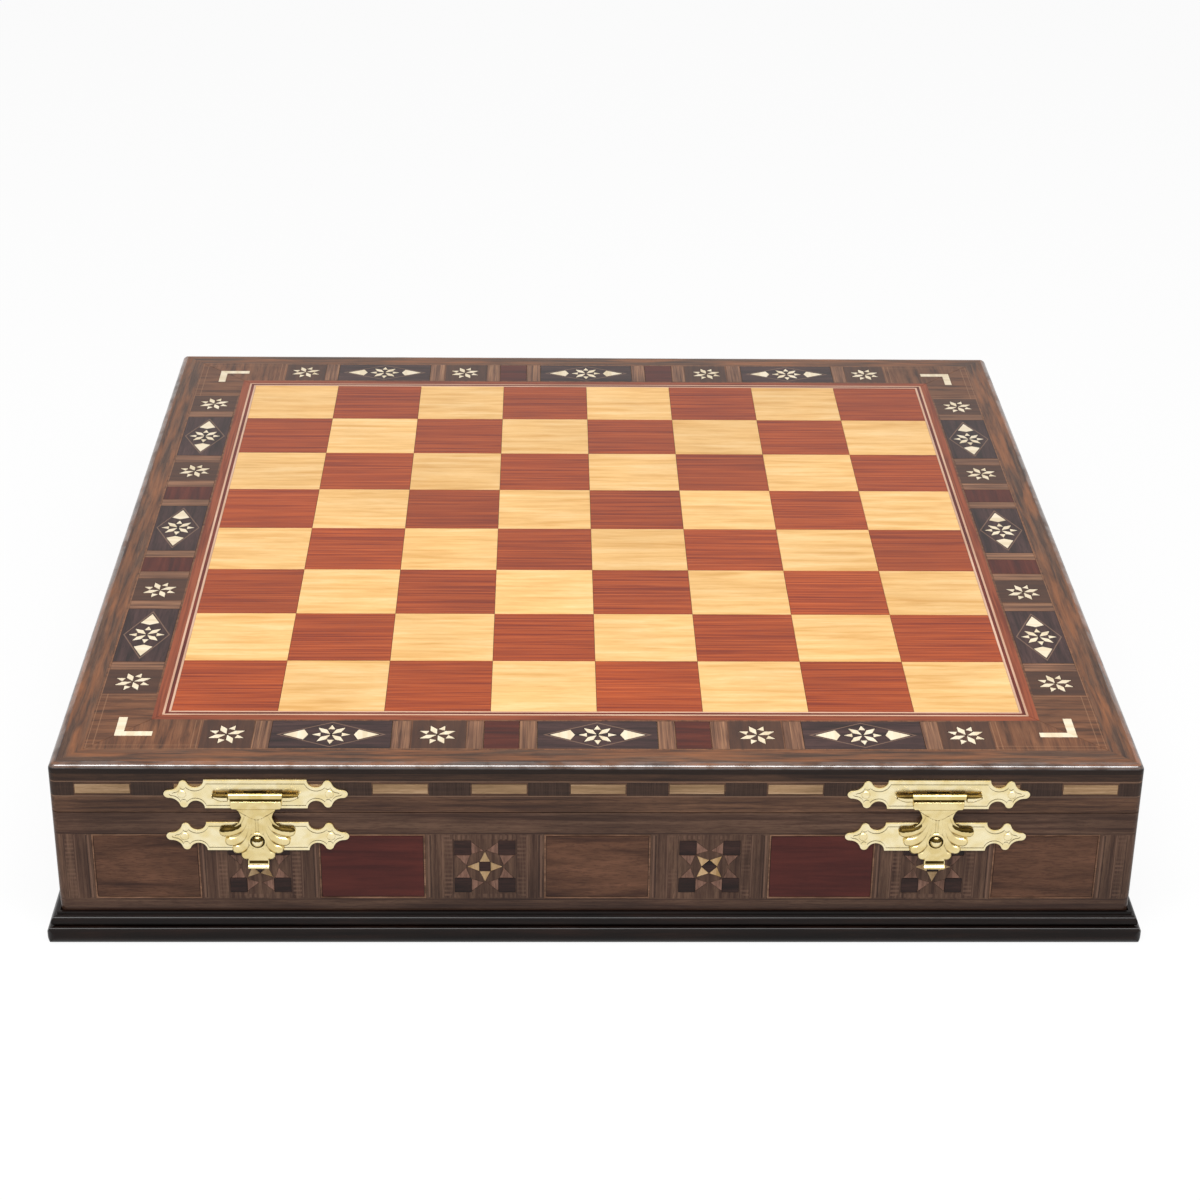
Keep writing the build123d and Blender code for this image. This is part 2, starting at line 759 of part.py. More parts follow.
def cross_plane(x, z, offset):
    """Plane square to a clasp's pin: x runs forwards from `offset`, y up."""
    return Plane(origin=(x, -half - offset, z), x_dir=(0, -1, 0), z_dir=(-1, 0, 0))


def below(place):
    """Sketch point for a place given as (aside, below the pin)."""
    return place[0], -place[1]


for hand_name, hand in HANDS.items():
    clasp_x = hand * clasp_place
    with BuildPart() as upper_plate:
        with BuildSketch(front_plane(clasp_x, upper_plate_z)):
            plate_outline()
            with nail_spots():
                Circle(nail_radius, mode=Mode.SUBTRACT)
            Rectangle(2 * (hasp_barrel_half + eye_gap), 2 * (hasp_barrel_radius + hasp_clearance),
                      mode=Mode.SUBTRACT)
        extrude(amount=plate_thickness)
        for end in (-1, 1):
            eye_x = clasp_x + end * (hasp_barrel_half + eye_gap)
            with BuildSketch(cross_plane(eye_x, upper_plate_z, hasp_pin_offset)):
                Circle(eye_radius)
            extrude(amount=-end * eye_length)
            with Locations((eye_x + end * eye_length, -half - hasp_pin_offset, upper_plate_z)):
                Sphere(eye_radius)
            with BuildSketch(cross_plane(eye_x, upper_plate_z, hasp_pin_offset)):
                Circle(hasp_pin_radius)
            extrude(amount=-end * eye_length, mode=Mode.SUBTRACT)
    finish(upper_plate, f"clasp_upper_plate_{hand_name}")

    with BuildPart() as lower_plate:
        with BuildSketch(front_plane(clasp_x, lower_plate_z)):
            plate_outline()
            with nail_spots():
                Circle(nail_radius, mode=Mode.SUBTRACT)
            with Locations((0, stud_z - lower_plate_z)):
                Circle(stud_shank_radius, mode=Mode.SUBTRACT)
        extrude(amount=plate_thickness)
    finish(lower_plate, f"clasp_lower_plate_{hand_name}")

    with BuildPart() as hasp:
        sheet_back = plate_thickness + hasp_stand_off
        sheet_start = hasp_barrel_radius / 3
        sheet_plane = front_plane(clasp_x, upper_plate_z, sheet_back)
        with BuildSketch(sheet_plane):
            with BuildLine():
                Line((0, -sheet_start), (hasp_barrel_half, -sheet_start))
                Line((hasp_barrel_half, -sheet_start), (hasp_barrel_half, -apron_drop))
                ThreePointArc((hasp_barrel_half, -apron_drop), below(apron_bend), below(hasp_neck))
                ThreePointArc(below(hasp_neck), below(shoulder_bend), below(shoulder))
                Line(below(shoulder), below(flute_tips[1]))
                Line(below(flute_tips[1]), below(flute_tips[3]))
                Line(below(flute_tips[3]), (0, -fan_end_drop))
                mirror(about=Plane.YZ)
            make_face()
            for aside, drop in flute_tips:
                with Locations((-aside, -drop), (aside, -drop)):
                    Circle(flute_tip_radius)
            Polygon((-tab_waist_half, -tab_start_drop), (tab_waist_half, -tab_start_drop),
                    (tab_half_width, -tab_flare_drop),
                    (tab_half_width, lip_rise - tab_end_drop), (-tab_half_width, lip_rise - tab_end_drop),
                    (-tab_half_width, -tab_flare_drop), align=None)
        extrude(amount=hasp_sheet)
        with BuildSketch(cross_plane(clasp_x + hasp_barrel_half, upper_plate_z, hasp_pin_offset)):
            Circle(hasp_barrel_radius)
        extrude(amount=2 * hasp_barrel_half)
        for end in (-1, 1):
            for aside, drop in flute_tips:
                root = Vector(clasp_x + flute_root_share * end * aside, -half - sheet_back - hasp_sheet / 2,
                              upper_plate_z - flute_root_drop)
                tip = Vector(clasp_x + end * aside, root.Y, upper_plate_z - drop)
                run = tip - root
                with Locations(Plane(origin=root, z_dir=run)):
                    Cone(flute_root_radius, flute_end_radius, run.length,
                         align=(Align.CENTER, Align.CENTER, Align.MIN))
                with Locations(tip):
                    Sphere(flute_tip_radius)
        with BuildSketch(sheet_plane):
            with Locations((0, -hasp_barrel_radius - tab_end_drop)):
                Rectangle(4 * hasp_barrel_half, 2 * tab_end_drop)
        extrude(amount=-2 * flute_tip_radius, mode=Mode.SUBTRACT)
        with BuildSketch(cross_plane(clasp_x + tab_half_width, upper_plate_z, sheet_back)):
            Polygon((0, lip_rise - tab_end_drop), (hasp_sheet, lip_rise - tab_end_drop),
                    (hasp_sheet + lip_rise, -tab_end_drop), (lip_rise, -tab_end_drop), align=None)
        extrude(amount=2 * tab_half_width)
        with BuildSketch(front_plane(clasp_x, stud_z, sheet_back)):
            Circle(ball_radius + ball_clearance)
        extrude(amount=2 * flute_tip_radius, mode=Mode.SUBTRACT)
        with BuildSketch(cross_plane(clasp_x + hasp_barrel_half, upper_plate_z, hasp_pin_offset)):
            Circle(hasp_pin_radius + running_clearance)
        extrude(amount=2 * hasp_barrel_half, mode=Mode.SUBTRACT)
    finish(hasp, f"hasp_{hand_name}")

with BuildPart() as hasp_pins:
    for hand in HANDS.values():
        pin_half = hasp_barrel_half + eye_gap + eye_length
        with BuildSketch(cross_plane(hand * clasp_place + pin_half, upper_plate_z, hasp_pin_offset)):
            Circle(hasp_pin_radius)
        extrude(amount=2 * pin_half)
finish(hasp_pins, "hasp_pins")

with BuildPart() as ball_studs:
    for hand in HANDS.values():
        with BuildSketch(front_plane(hand * clasp_place, stud_z, plate_thickness)):
            Circle(stud_shank_radius)
        extrude(amount=-stud_length)
        with Locations((hand * clasp_place, -half - hasp_pin_offset, stud_z)):
            ball = Sphere(ball_radius, mode=Mode.PRIVATE)
        front_of_plate = front_plane(hand * clasp_place, stud_z, plate_thickness)
        add(split(ball, bisect_by=front_of_plate, keep=Keep.TOP, mode=Mode.PRIVATE))
finish(ball_studs, "ball_studs")


def build_nails(name, plate_z):
    """Four domed nails, two in each plate at this height."""
    with BuildPart() as nails:
        for hand in HANDS.values():
            face = front_plane(hand * clasp_place, plate_z, plate_thickness)
            with BuildSketch(face):
                with nail_spots():
                    Circle(nail_head_radius)
            extrude(amount=nail_head_height, taper=nail_head_taper)
            with BuildSketch(face):
                with nail_spots():
                    Circle(nail_radius)
            extrude(amount=-nail_length)
    finish(nails, name)


build_nails("clasp_nails_upper", upper_plate_z)
build_nails("clasp_nails_lower", lower_plate_z)


# ---------------------------------------------------------------- back hinges
knuckle_length = (hinge_length - (knuckles - 1) * knuckle_gap) / knuckles


def screw_head(z_sign, mode):
    """Countersunk heads of both screws of every leaf on this side of the seam."""
    depth = screw_head_radius - screw_radius
    for hand in HANDS.values():
        with BuildSketch(Plane.XY.offset(body_height + z_sign * seam_gap / 2)) as heads:
            with Locations((hand * hinge_place, pin_y - screw_from_pin)):
                with GridLocations(screw_spacing, 0, 2, 1):
                    Circle(screw_head_radius)
        extrude(heads.sketch, amount=z_sign * depth, taper=45, mode=mode)


def screw_shank(z_sign, mode):
    """Shanks of both screws of every leaf on this side of the seam."""
    for hand in HANDS.values():
        with BuildSketch(Plane.XY.offset(body_height + z_sign * seam_gap / 2)) as shanks:
            with Locations((hand * hinge_place, pin_y - screw_from_pin)):
                with GridLocations(screw_spacing, 0, 2, 1):
                    Circle(screw_radius)
        extrude(shanks.sketch, amount=z_sign * screw_length, mode=mode)


def build_leaf(name, hand, z_sign, first_knuckle, bore):
    """One hinge leaf with its own knuckles, cut clear of the other leaf's."""
    start = hand * hinge_place - hinge_length / 2
    with BuildPart() as leaf:
        with BuildSketch(Plane.XY.offset(body_height + z_sign * seam_gap / 2)):
            with Locations((hand * hinge_place, pin_y - hinge_leaf_width / 2)):
                Rectangle(hinge_length, hinge_leaf_width)
        extrude(amount=z_sign * hinge_leaf_thickness)
        for i in range(knuckles):
            left = start + i * (knuckle_length + knuckle_gap)
            right = left + knuckle_length
            if i % 2 == first_knuckle:
                hinge_cylinder(left, right, hinge_barrel_radius, Mode.ADD)
            else:
                hinge_cylinder(left - knuckle_gap, right + knuckle_gap,
                               hinge_barrel_radius + hinge_barrel_clearance / 2, Mode.SUBTRACT)
        hinge_cylinder(start, start + hinge_length, bore, Mode.SUBTRACT)
        screw_head(z_sign, Mode.SUBTRACT)
        screw_shank(z_sign, Mode.SUBTRACT)
    finish(leaf, name)


for hand_name, hand in HANDS.items():
    build_leaf(f"hinge_body_leaf_{hand_name}", hand, -1, 0, hinge_pin_radius)
    build_leaf(f"hinge_lid_leaf_{hand_name}", hand, 1, 1, hinge_pin_radius + running_clearance)

with BuildPart() as hinge_pins:
    for hand in HANDS.values():
        pin_start = hand * hinge_place - hinge_length / 2
        hinge_cylinder(pin_start, pin_start + hinge_length, hinge_pin_radius, Mode.ADD)
finish(hinge_pins, "hinge_pins")

for member, z_sign in (("body", -1), ("lid", 1)):
    with BuildPart() as screws:
        screw_head(z_sign, Mode.ADD)
        screw_shank(z_sign, Mode.ADD)
    finish(screws, f"hinge_screws_{member}")
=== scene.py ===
"""Chess box with a hinged lid: polished marquetry, a glossy playing board and two pressed brass clasps.

Frame: metres, +Z up, origin on the floor under the middle of the box, clasps on the front (-Y).
Numbers here are millimetres. Vectors, and what a docstring gives in metres, are in metres.
"""

import logging
import math
from collections.abc import Callable, Iterable, Iterator
from contextlib import contextmanager
from dataclasses import dataclass
from enum import Enum
from typing import NamedTuple

import bmesh
import bpy
from mathutils import Matrix, Vector

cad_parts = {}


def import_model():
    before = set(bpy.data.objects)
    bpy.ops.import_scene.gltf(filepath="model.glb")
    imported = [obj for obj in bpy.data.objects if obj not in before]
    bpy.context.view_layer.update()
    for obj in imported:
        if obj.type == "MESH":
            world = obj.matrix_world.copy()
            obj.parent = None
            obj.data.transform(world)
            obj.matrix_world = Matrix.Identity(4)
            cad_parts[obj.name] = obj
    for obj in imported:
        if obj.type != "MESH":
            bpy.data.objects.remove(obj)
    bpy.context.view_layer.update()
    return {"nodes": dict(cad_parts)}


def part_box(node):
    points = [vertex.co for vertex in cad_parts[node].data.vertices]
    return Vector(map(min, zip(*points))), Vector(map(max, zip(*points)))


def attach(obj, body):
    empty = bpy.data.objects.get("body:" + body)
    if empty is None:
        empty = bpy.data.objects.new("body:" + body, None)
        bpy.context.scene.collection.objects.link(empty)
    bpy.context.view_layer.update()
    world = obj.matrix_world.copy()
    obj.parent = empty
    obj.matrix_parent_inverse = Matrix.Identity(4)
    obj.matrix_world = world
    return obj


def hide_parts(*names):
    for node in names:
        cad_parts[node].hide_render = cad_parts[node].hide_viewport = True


MM = 0.001
OUTER_FACE = 183.5                  # from the middle: the walls' marquetry is only beyond this
NEAR = 1e-7                         # metres, within which a point counts as lying on a plane
TO_FRONT = (math.pi / 2, 0, 0)      # turns a primitive's own Z axis to the front
TO_SIDE = (0, math.pi / 2, 0)       # turns it sideways
RIGHT, BACK, UP = Vector((1, 0, 0)), Vector((0, 1, 0)), Vector((0, 0, 1))
log = logging.getLogger("chess_box")

Socket = bpy.types.NodeSocket
Tree = bpy.types.NodeTree
Material = bpy.types.Material
Piece = bpy.types.Object
Point = tuple[float, float]


# ---------------------------------------------------------------- nodes and colours
def linear(colour: str) -> tuple[float, float, float, float]:
    """Turn an sRGB hex colour into linear RGBA.

    Args:
        colour: six hex digits after a hash.

    Returns:
        Linear red, green, blue and an alpha of 1.
    """
    parts = [int(colour[i:i + 2], 16) / 255 for i in (1, 3, 5)]
    return (*[c / 12.92 if c <= 0.04045 else ((c + 0.055) / 1.055) ** 2.4 for c in parts], 1.0)


def add_node(tree: Tree, kind: str, *values: object, inputs: dict | None = None, stops: tuple = (),
             out: int | str = 0, **settings) -> Socket | None:
    """Add one node with its settings and links.

    Args:
        tree: the node tree.
        kind: the node's type, without the word ShaderNode.
        values: what feeds its first inputs, in order: numbers, colours or other nodes' outputs.
        inputs: the same for further inputs, by name or number.
        stops: (place, hex colour) pairs of a colour ramp.
        out: the output to return, by name or number.
        settings: the node's own properties.

    Returns:
        That output, or None from a node that has none.
    """
    node = tree.nodes.new(f"ShaderNode{kind}")
    for name, value in settings.items():
        setattr(node, name, value)
    for key, value in {**dict(enumerate(values)), **(inputs or {})}.items():
        if isinstance(value, Socket):
            tree.links.new(value, node.inputs[key])
        else:
            node.inputs[key].default_value = value
    for number, (place, colour) in enumerate(stops):
        elements = node.color_ramp.elements
        element = elements[number] if number < 2 else elements.new(place)
        element.position = place
        element.color = linear(colour)
    return node.outputs[out] if node.outputs else None


def emptied(owner: Material | bpy.types.World) -> Tree:
    """Let a new material or world use nodes, and clear them.

    Args:
        owner: the material or world.

    Returns:
        Its empty node tree.
    """
    owner.use_nodes = True
    owner.node_tree.nodes.clear()
    return owner.node_tree


class Grain(Enum):
    """Which way the wood's grain runs."""

    LEFT_RIGHT = "x"
    FRONT_BACK = "y"
    ALONG_SIDE = "along"
    ACROSS_SIDE = "across"
    UPRIGHT = "up"


class Line(NamedTuple):
    """A fine string let into wood: its place, width, hex colour and how strongly it shows."""

    where: float
    width: float
    tone: str
    strength: float


@dataclass
class Place:
    """Where a shaded point is, as seen from the side of the box that it belongs to."""

    tree: Tree

    def __post_init__(self) -> None:
        """Work out the coordinates once."""
        tree = self.tree
        source = add_node(tree, "TexCoord", out="Object")
        self.whole = add_node(tree, "VectorMath", source, inputs={"Scale": 1 / MM}, operation="SCALE")
        self.x, self.y, self.height = add_node(tree, "SeparateXYZ", self.whole).node.outputs
        wide = add_node(tree, "Math", self.x, operation="ABSOLUTE")
        deep = add_node(tree, "Math", self.y, operation="ABSOLUTE")
        turned = add_node(tree, "Math", wide, deep, operation="GREATER_THAN")
        self.along = add_node(tree, "Mix", inputs={0: turned, 2: self.x, 3: self.y})
        self.outward = add_node(tree, "Mix", inputs={0: turned, 2: self.y, 3: self.x})
        self.reach = add_node(tree, "Math", wide, deep, operation="MAXIMUM")
        self.aside = add_node(tree, "Math", self.along, operation="ABSOLUTE")

    def outer(self) -> Socket:
        """Return 1 on the outer faces of the walls."""
        return add_node(self.tree, "Math", self.reach, OUTER_FACE, operation="GREATER_THAN")

    def grain(self, direction: Grain) -> Socket:
        """Turn the coordinates so that the first one runs along the grain.

        Args:
            direction: which way the grain runs.

        Returns:
            The turned vector.
        """
        order = {
            Grain.LEFT_RIGHT: (self.x, self.y, self.height),
            Grain.FRONT_BACK: (self.y, self.x, self.height),
            Grain.ALONG_SIDE: (self.along, self.outward, self.height),
            Grain.ACROSS_SIDE: (self.outward, self.along, self.height),
            Grain.UPRIGHT: (self.height, self.along, self.outward),
        }[direction]
        return add_node(self.tree, "CombineXYZ", *order)

    def line(self, value: Socket, centre: float, width: float) -> Socket:
        """Return 1 within a line of that width round that place, and 0 elsewhere."""
        return add_node(self.tree, "Math", value, centre, width / 2, operation="COMPARE")

    def between(self, value: Socket, low: float, high: float) -> Socket:
        """Return 1 where a value is between two limits."""
        return self.line(value, (low + high) / 2, high - low)

    def overlap(self, first: Socket, *others: float | Socket) -> Socket:
        """Lay masks over each other.

        Args:
            first: a mask.
            others: more masks, or numbers that weaken it.

        Returns:
            What is left where all of them are.
        """
        for other in others:
            first = add_node(self.tree, "Math", first, other, operation="MULTIPLY")
        return first

    def streaks(self, vector: Socket, run: float, width: float, seed: float, detail: float = 4.0) -> Socket:
        """Draw noise out along the grain.

        Args:
            vector: a grain vector.
            run: length of one streak.
            width: width of one streak.
            seed: where in the noise to look.
            detail: how many finer layers it has.

        Returns:
            The noise's value.
        """
        scale, shift = (1 / run, 1 / width, 1 / width), (seed, seed * 1.7, seed * 0.6)
        shifted = add_node(self.tree, "VectorMath", vector, scale, shift, operation="MULTIPLY_ADD")
        return add_node(self.tree, "TexNoise", inputs={
            "Vector": shifted, "Scale": 1.0, "Detail": detail, "Roughness": 0.6, "Distortion": 0.35})

    def cloud(self, size: float, seed: float, detail: float = 1.0) -> Socket:
        """Return round patches of noise."""
        return self.streaks(self.whole, size, size, seed, detail)

    def from_centre(self, pitch: float, shift: float = 0.0) -> Socket:
        """Measure how far a point is from the middle of the repeat that it lies in.

        Args:
            pitch: length of one repeat along the side.
            shift: how far the repeats are moved along it.

        Returns:
            That distance.
        """
        value = add_node(self.tree, "Math", self.along, shift, operation="ADD")
        wrapped = add_node(self.tree, "Math", value, pitch, operation="FLOORED_MODULO")
        off = add_node(self.tree, "Math", wrapped, pitch / 2, operation="SUBTRACT")
        return add_node(self.tree, "Math", off, operation="ABSOLUTE")

    def stain_or_shade(self, colour: Socket, tone: str | Socket, mask: Socket,
              strength: float | None = None) -> Socket:
        """Lay a colour over the wood where a mask is: a stain, a string or figure, or painted shade.

        Args:
            colour: its colour so far.
            tone: the colour laid over it, a hex colour or an output.
            mask: where it is laid.
            strength: how strong it is there, fully where None.

        Returns:
            The new colour.
        """
        share = mask if strength is None else self.overlap(mask, strength)
        target = linear(tone) if isinstance(tone, str) else tone
        return add_node(self.tree, "Mix", share, inputs={6: colour, 7: target}, data_type="RGBA", out=2)

    def inlaid(self, colour: Socket, value: Socket, string: Line, limit: float | Socket) -> Socket:
        """Let a fine string into a colour where a value is at the string's place, within a limit."""
        mask = self.overlap(self.line(value, string.where, string.width), limit)
        return self.stain_or_shade(colour, string.tone, mask, string.strength)


# ---------------------------------------------------------------- finishes
@dataclass(frozen=True)
class LacqueredVeneer:
    """Sliced veneer, pores filled, under polished clear lacquer: deep colour below a smooth mirror."""

    name: str
    deep: str
    body: str
    pale: str
    grain: Grain = Grain.ALONG_SIDE
    pore_width: float = 0.45
    pore_run: float = 9.0
    streak_width: float = 3.0
    streak_run: float = 45.0
    pore_strength: float = 0.55
    tone_swing: float = 0.25
    polish: float = 0.05
    seed: float = 3.0
    lacquer: float = 0.45
    lacquer_index: float = 1.4

    def tint(self, place: Place, colour: Socket) -> Socket:
        """Return the wood's colour with whatever is let into it. Plain veneer has nothing."""
        return colour

    def vector(self, place: Place) -> Socket:
        """Return the grain vector of this veneer."""
        return place.grain(self.grain)

    def gloss(self, place: Place) -> tuple[float | Socket, float | Socket]:
        """Return the lacquer's weight and its refractive index."""
        return self.lacquer, self.lacquer_index

    def wood(self, place: Place, streaks: Socket, pores: Socket) -> Socket:
        """Colour the bare wood: streaks from deep to pale, dark pores, and slow changes of tone.

        Args:
            place: the place that the nodes work from.
            streaks: noise along the grain.
            pores: finer noise along the grain.

        Returns:
            The wood's colour.
        """
        tree, swing = place.tree, self.tone_swing
        tones = ((0.32, self.deep), (0.68, self.pale), (0.5, self.body))
        dark = add_node(tree, "MapRange", pores, 0.48, 0.66, 0.0, self.pore_strength)
        colour = place.stain_or_shade(add_node(tree, "ValToRGB", streaks, stops=tones), self.deep, dark)
        patches = place.streaks(place.whole, 38.0, 26.0, self.seed + 8, detail=2.0)
        tone = add_node(tree, "MapRange", patches, 0.3, 0.7, 1 - swing, 1 + swing)
        return add_node(tree, "HueSaturation", inputs={"Value": tone, "Color": colour})

    def build(self) -> Material:
        """Make the material: the wood, the relief of its pores, and the lacquer's own faint ripple.

        Returns:
            The finished node material.
        """
        material = bpy.data.materials.new(self.name)
        tree = emptied(material)
        place = Place(tree)
        vector = self.vector(place)
        streaks = place.streaks(vector, self.streak_run, self.streak_width, self.seed)
        pores = place.streaks(vector, self.pore_run, self.pore_width, self.seed + 4, detail=2.0)
        colour = self.tint(place, self.wood(place, streaks, pores))
        relief = add_node(tree, "Bump", invert=True, inputs={
            "Strength": 0.25, "Distance": 0.03 * MM, "Height": pores})
        skin = add_node(tree, "Bump", inputs={
            "Strength": 0.12, "Distance": 0.05 * MM, "Height": place.cloud(7.0, self.seed + 2)})
        weight, index = self.gloss(place)
        shader = add_node(tree, "BsdfPrincipled", inputs={
            "Base Color": colour, "Roughness": 0.5, "IOR": 1.5, "Specular IOR Level": 0.04, "Normal": relief,
            "Coat Weight": weight, "Coat Roughness": self.polish, "Coat IOR": index, "Coat Normal": skin})
        add_node(tree, "OutputMaterial", shader)
        return material


@dataclass(frozen=True)
class PlayingSquare(LacqueredVeneer):
    """Playing squares: each one is a separate leaf of veneer, so its tone differs from its neighbours'."""

    square: float = 37.0
    leaf_swing: float = 0.12
    jump: float = 400.0

    def vector(self, place: Place) -> Socket:
        """Return the grain vector, jumping from square to square."""
        return add_node(place.tree, "VectorMath", place.grain(self.grain), self.leaf(place), operation="ADD")

    def leaf(self, place: Place) -> Socket:
        """Choose a random offset that is constant over one square.

        Args:
            place: the place that the nodes work from.

        Returns:
            The offset.
        """
        tree, share = place.tree, 1 / self.square
        steps = add_node(tree, "VectorMath", place.whole, (share, share, 0), operation="MULTIPLY")
        whole = add_node(tree, "VectorMath", steps, operation="FLOOR")
        noise = add_node(tree, "TexWhiteNoise", whole, out=1)
        return add_node(tree, "VectorMath", noise, inputs={"Scale": self.jump}, operation="SCALE")

    def tint(self, place: Place, colour: Socket) -> Socket:
        """Make the wood a little lighter or darker from square to square.

        Args:
            place: the place that the nodes work from.
            colour: the wood's colour.

        Returns:
            The changed colour.
        """
        swing = self.leaf_swing
        chance = add_node(place.tree, "SeparateXYZ", self.leaf(place), out=1)
        value = add_node(place.tree, "MapRange", chance, 0.0, self.jump, 1 - swing, 1 + swing)
        return add_node(place.tree, "HueSaturation", inputs={"Value": value, "Color": colour})


@dataclass(frozen=True)
class WallMarquetry(LacqueredVeneer):
    """Walnut ground of the walls: upright grain and dashed bandings at the mosaics, strings at the panels."""

    pitch: float = 77.0
    mosaic_height: float = 28.8
    panel_half: float = 13.0
    panel_edge: float = 19.9
    band: Point = (11.1, 14.0)
    dash: float = 1.7
    dash_share: float = 0.45
    light: str = "#6E5243"
    # shade colours the dark strings and also the painted shade on the wall's foot, which foot, foot_fade and
    # foot_shade place
    shade: str = "#241511"
    foot: float = 11.0
    foot_fade: float = 4.5
    foot_shade: float = 0.68

    def vector(self, place: Place) -> Socket:
        """Stand the grain upright beside the mosaics and lay it down above and below them.

        Args:
            place: the place that the nodes work from.

        Returns:
            The grain vector.
        """
        off = add_node(place.tree, "Math", place.height, self.mosaic_height, operation="SUBTRACT")
        inside = place.overlap(place.between(off, -self.panel_half, self.panel_half), place.outer())
        ways = {4: place.grain(Grain.ALONG_SIDE), 5: place.grain(Grain.UPRIGHT)}
        return add_node(place.tree, "Mix", inside, inputs=ways, data_type="VECTOR", out=1)

    def dashes(self, place: Place, side: Socket, off: Socket, rise: Socket) -> Socket:
        """Draw the dashed ring round each mosaic, broken where the banding is worn.

        Args:
            place: the place that the nodes work from.
            side: distance from the mosaic's middle, along the wall.
            off: height above that middle.
            rise: height above or below it.

        Returns:
            How strongly the dashes show.
        """
        tree = place.tree
        upright = add_node(tree, "Math", side, rise, operation="GREATER_THAN")
        run = add_node(tree, "Mix", inputs={0: upright, 2: side, 3: off})
        step = add_node(tree, "Math", run, self.dash, operation="FLOORED_MODULO")
        tick = add_node(tree, "Math", step, self.dash_share * self.dash, operation="LESS_THAN")
        ring = place.between(add_node(tree, "Math", side, rise, operation="MAXIMUM"), *self.band)
        worn = add_node(tree, "MapRange", place.cloud(9.0, 31.0), 0.38, 0.62, 0.0, 0.45)
        return place.overlap(ring, tick, worn)

    def tint(self, place: Place, colour: Socket) -> Socket:
        """Let the dashed bandings and strings into the ground, and paint shade on its foot above the moulding.

        Args:
            place: the place that the nodes work from.
            colour: the ground's colour.

        Returns:
            The wall's colour.
        """
        tree, outer = place.tree, place.outer()
        side = place.from_centre(self.pitch)
        off = add_node(tree, "Math", place.height, self.mosaic_height, operation="SUBTRACT")
        rise = add_node(tree, "Math", off, operation="ABSOLUTE")
        low_edge = add_node(tree, "Math", rise, self.panel_half - 0.4, operation="LESS_THAN")
        field = place.overlap(low_edge, outer)
        colour = place.stain_or_shade(colour, self.light, place.overlap(self.dashes(place, side, off, rise), field))
        inner = place.overlap(field, add_node(tree, "Math", side, self.panel_edge, operation="LESS_THAN"))
        for string in (Line(19.2, 0.5, self.light, 0.6), Line(18.5, 0.4, self.shade, 0.7),
                       Line(14.5, 0.35, self.light, 0.45), Line(10.8, 0.3, self.shade, 0.5)):
            colour = place.inlaid(colour, side, string, inner)
        colour = place.inlaid(colour, rise, Line(self.panel_half + 0.35, 0.35, self.shade, 0.7), outer)
        # Painted shade: the wall darkens towards its foot, where the moulding shades it.
        top = self.foot + self.foot_fade
        return place.stain_or_shade(colour, self.shade,
                           add_node(tree, "MapRange", place.height, self.foot, top, self.foot_shade, 0.0))


